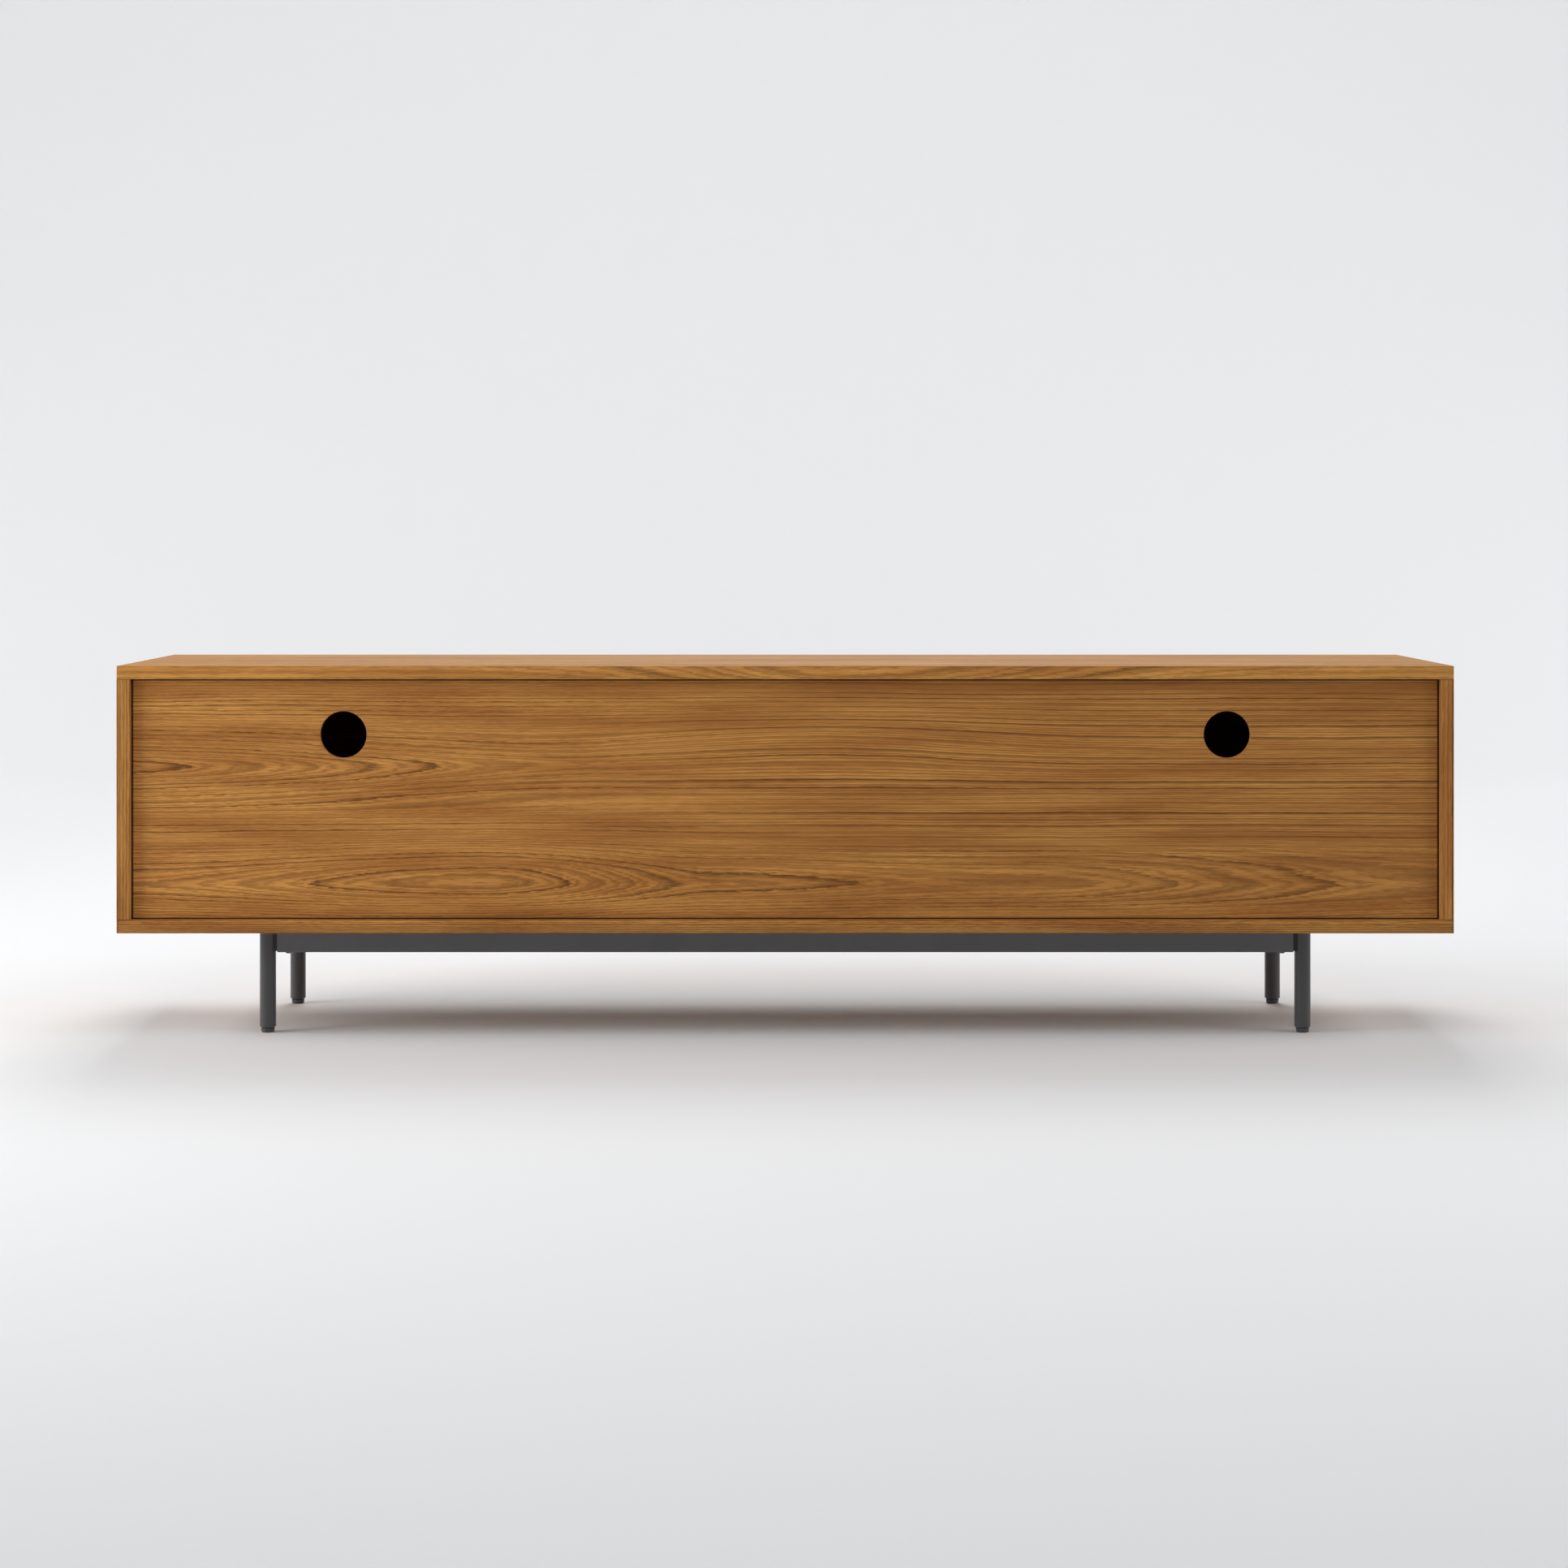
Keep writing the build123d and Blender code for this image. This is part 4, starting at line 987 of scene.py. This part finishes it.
@dataclass
class BallCages:
    """The strips of balls that run between the members of the drawer slides.

    Attributes:
        drawer: Which drawer's slides they are in.
        ball: A ball's radius, in metres.
        metal: How thick the slides' sheet is.
        gap: How far apart two members' flanges lie.
        strip: A strip's width and thickness.
        pitch: From one ball to the next.
        count: How many balls one strip holds.
        end: From a member's end to the strip.
        outer_in: From a member's outer side to the outer balls.
        inner_in: From a member's outer side to the inner balls.
        facets: How many faces a ball has round it and from pole to pole.
    """

    drawer: str
    ball: float = 0.0015
    metal: float = 0.0012
    gap: float = 0.0032
    strip: tuple[float, float] = (0.005, 0.0008)
    pitch: float = 0.013
    count: int = 10
    end: float = 0.008
    outer_in: float = 0.0036
    inner_in: float = 0.0056
    facets: tuple[int, int] = (14, 8)

    def build(self, steel: bpy.types.Material, plate: bpy.types.Material) -> None:
        """Make this drawer's strips and join them into one piece.

        Args:
            steel: The balls' finish.
            plate: The strips' finish.
        """
        low, high = (Vector(corner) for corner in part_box(f"{self.drawer}_middle_slide_members"))
        middle, half = (low.z + high.z) / 2, (high.z - low.z) / 2
        length = self.pitch * self.count
        made, balls = [], []
        for side in (-1, 1):
            for over in (-1, 1):
                outer = Vector((side * (high.x - self.outer_in), high.y - self.end - length / 2,
                                middle + over * (half + self.gap / 2)))
                inner = Vector((side * (high.x - self.inner_in), low.y + self.end + length / 2,
                                middle + over * (half - self.metal - self.gap / 2)))
                for place in (outer, inner):
                    made.append(self.lay_strip(place, length, plate))
                    row = self.lay_balls(place, steel)
                    made += row
                    balls += row
        bpy.ops.object.select_all(action="DESELECT")
        for piece in made:
            piece.select_set(True)
        bpy.context.view_layer.objects.active = made[0]
        bpy.ops.object.join()
        cages = bpy.context.object
        cages.name = f"{self.drawer}_drawer_ball_cages"
        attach(cages, f"{self.drawer}_middle_members")
        log.info("%s: %d balls", cages.name, len(balls))

    def lay_strip(self, place: Vector, length: float,
                  plate: bpy.types.Material) -> bpy.types.Object:
        """Make one flat strip with rounded edges.

        Args:
            place: The strip's middle.
            length: How long it is.
            plate: Its finish.

        Returns:
            The strip.
        """
        bpy.ops.object.select_all(action="DESELECT")
        bpy.ops.mesh.primitive_cube_add(size=1.0)
        strip = bpy.context.object
        bpy.ops.object.mode_set(mode="EDIT")
        bpy.ops.transform.resize(value=(self.strip[0], length, self.strip[1]))
        bpy.ops.mesh.bevel(offset=self.strip[1] / 4, segments=2, affect="EDGES")
        bpy.ops.transform.translate(value=place)
        bpy.ops.object.mode_set(mode="OBJECT")
        strip.data.materials.append(plate)
        return strip

    def lay_balls(self, place: Vector, steel: bpy.types.Material) -> list[bpy.types.Object]:
        """Make one strip's row of balls.

        Args:
            place: The row's middle.
            steel: The balls' finish.

        Returns:
            The balls.
        """
        row = []
        for i in range(self.count):
            bpy.ops.object.select_all(action="DESELECT")
            along = (i - (self.count - 1) / 2) * self.pitch
            bpy.ops.mesh.primitive_uv_sphere_add(segments=self.facets[0],
                                                 ring_count=self.facets[1], radius=self.ball)
            ball = bpy.context.object
            bpy.ops.object.shade_smooth()
            bpy.ops.object.mode_set(mode="EDIT")
            bpy.ops.transform.translate(value=place + Vector((0.0, along, 0.0)))
            bpy.ops.object.mode_set(mode="OBJECT")
            ball.data.materials.append(steel)
            row.append(ball)
        return row


# --- Studio ----------------------------------------------------------------------------
@dataclass
class Lamp:
    """A soft square light.

    Attributes:
        name: Its name.
        place: Where it hangs, in metres.
        size: How wide it is, in metres.
        watts: Its power.
        aim: The point that it faces, in metres.
    """

    name: str
    place: tuple[float, float, float]
    size: float
    watts: float
    aim: tuple[float, float, float] = (0.0, 0.0, 0.3)

    def hang(self) -> None:
        """Add the light to the scene."""
        data = bpy.data.lights.new(self.name, "AREA")
        data.shape = "SQUARE"
        data.size = self.size
        data.energy = self.watts
        lamp = bpy.data.objects.new(self.name, data)
        bpy.context.collection.objects.link(lamp)
        lamp.location = self.place
        toward = Vector(self.aim) - Vector(self.place)
        lamp.rotation_euler = toward.to_track_quat("-Z", "Y").to_euler()
        lamp.visible_camera = False
        log.info("lamp %s: %.0f W", self.name, self.watts)


@dataclass
class Studio:
    """The floor sweep, the lights and the camera, which looks at the cabinet's back.

    Attributes:
        camera_back: How far behind the cabinet's middle the camera stands, in metres.
        camera_height: How high it stands, in metres.
        lens: Its focal length, in mm.
        sensor: The width of its sensor, in mm.
        shift_up: How far the picture is shifted up, in picture widths.
        shift_right: How far it is shifted to the right.
        sight: How far the camera sees, in metres.
        floor_size: The floor's length and width, in metres.
        floor_colour: The floor's colour.
        floor_roughness: How rough the floor is.
        floor_gloss: How strong its shine is.
        wall_back: Where the floor turns up into the wall, in metres along Y.
        wall_height: How high the wall is, in metres.
        curve_radius: The radius of the turn, in metres.
        curve_steps: How many faces the turn has.
        close: How near a point has to be to count as on the floor's edge, in metres.
        air_strength: The strength of the light from all round.
        lamps: The lights.
    """

    camera_back: float = 4.433
    camera_height: float = 0.6794
    lens: float = 72.22
    sensor: float = 36.0
    shift_up: float = -0.1589
    shift_right: float = -0.00076
    sight: float = 200.0
    floor_size: float = 24.0
    floor_colour: Colour = (0.79, 0.80, 0.812)
    floor_roughness: float = 0.9
    floor_gloss: float = 0.2
    wall_back: float = -7.5
    wall_height: float = 8.0
    curve_radius: float = 3.0
    curve_steps: int = 24
    close: float = 1e-4
    air_strength: float = 0.08
    lamps: tuple[Lamp, ...] = (
        Lamp("far_high", (0.0, -5.5, 6.5), 3.5, 200.0, (0.0, 0.0, 0.0)),
        Lamp("back_high", (0.0, -1.8, 2.8), 2.4, 33.0, (0.0, 0.0, 0.2)),
        Lamp("front_high", (0.0, 2.5, 3.0), 2.4, 20.0, (0.0, 0.0, 0.2)),
        Lamp("right_high", (-5.0, 1.0, 3.5), 4.0, 120.0),
        Lamp("right_panel", (-3.6, 0.8, 1.6), 2.4, 32.0),
        Lamp("left_panel", (3.6, 0.8, 1.6), 2.4, 122.0),
        Lamp("wall_left", (4.5, -3.0, 3.0), 2.0, 105.0, (3.0, -7.5, 1.5)),
        Lamp("wall_right", (-4.5, -3.0, 3.0), 2.0, 95.0, (-3.0, -7.5, 1.5)),
    )

    def build(self) -> None:
        """Set the studio up."""
        self.lay_sweep()
        for lamp in self.lamps:
            lamp.hang()
        self.fill_air()
        self.set_camera()

    def fill_air(self) -> None:
        """Light the scene a little from all round."""
        world = bpy.data.worlds.new("studio_air")
        world.use_nodes = True
        colour, strength = world.node_tree.nodes["Background"].inputs[:2]
        colour.default_value = (1.0, 1.0, 1.0, 1.0)
        strength.default_value = self.air_strength
        bpy.context.scene.world = world
        bpy.context.scene.view_settings.view_transform = "Standard"

    def set_camera(self) -> None:
        """Stand the camera behind the cabinet, level and square to it."""
        data = bpy.data.cameras.new("camera")
        data.lens = self.lens
        data.sensor_width = self.sensor
        data.shift_x = self.shift_right
        data.shift_y = self.shift_up
        data.clip_end = self.sight
        camera = bpy.data.objects.new("camera", data)
        bpy.context.collection.objects.link(camera)
        camera.location = (0.0, self.camera_back, self.camera_height)
        camera.rotation_euler = (math.radians(90.0), 0.0, math.radians(180.0))
        bpy.context.scene.camera = camera

    def pick_back_edge(self, floor: bpy.types.Object) -> None:
        """Select only the edge where the floor meets the wall.

        Args:
            floor: The floor.
        """
        mesh = floor.data
        for vertex in mesh.vertices:
            vertex.select = abs(vertex.co.y - self.wall_back) + abs(vertex.co.z) < self.close
        for edge in mesh.edges:
            edge.select = all(mesh.vertices[i].select for i in edge.vertices)
        for face in mesh.polygons:
            face.select = False

    def lay_sweep(self) -> None:
        """Lay the pale floor, which curves up into a wall on the cabinet's far side."""
        bpy.ops.object.select_all(action="DESELECT")
        bpy.ops.mesh.primitive_plane_add(size=self.floor_size)
        floor = bpy.context.object
        floor.name = "studio_floor"
        middle = self.wall_back + self.floor_size / 2
        bpy.ops.transform.translate(value=(0.0, middle, 0.0))
        bpy.ops.object.transform_apply()
        self.pick_back_edge(floor)
        bpy.ops.object.mode_set(mode="EDIT")
        bpy.ops.mesh.extrude_edges_move(
            TRANSFORM_OT_translate={"value": (0.0, 0.0, self.wall_height)})
        bpy.ops.object.mode_set(mode="OBJECT")
        self.pick_back_edge(floor)
        bpy.ops.object.mode_set(mode="EDIT")
        bpy.ops.mesh.bevel(offset=self.curve_radius, segments=self.curve_steps, affect="EDGES")
        bpy.ops.object.mode_set(mode="OBJECT")
        bpy.ops.object.shade_smooth()
        w = Wires("studio_floor")
        plain = w.node("ShaderNodeRGB")
        plain.outputs[0].default_value = (*self.floor_colour, 1.0)
        floor.data.materials.append(w.finish(plain.outputs[0], self.floor_roughness,
                                             Specular_IOR_Level=self.floor_gloss))
        log.info("studio_floor: %.0f m wide", self.floor_size)


def main() -> None:
    """Build the studio and dress the cabinet, one sub-assembly at a time."""
    logging.basicConfig(level=logging.INFO, format="%(name)s: %(message)s")
    Studio().build()
    Case().dress()
    Fronts().dress()
    DrawerBoxes().dress()
    Metalwork().dress()


if __name__ == "__main__":
    main()
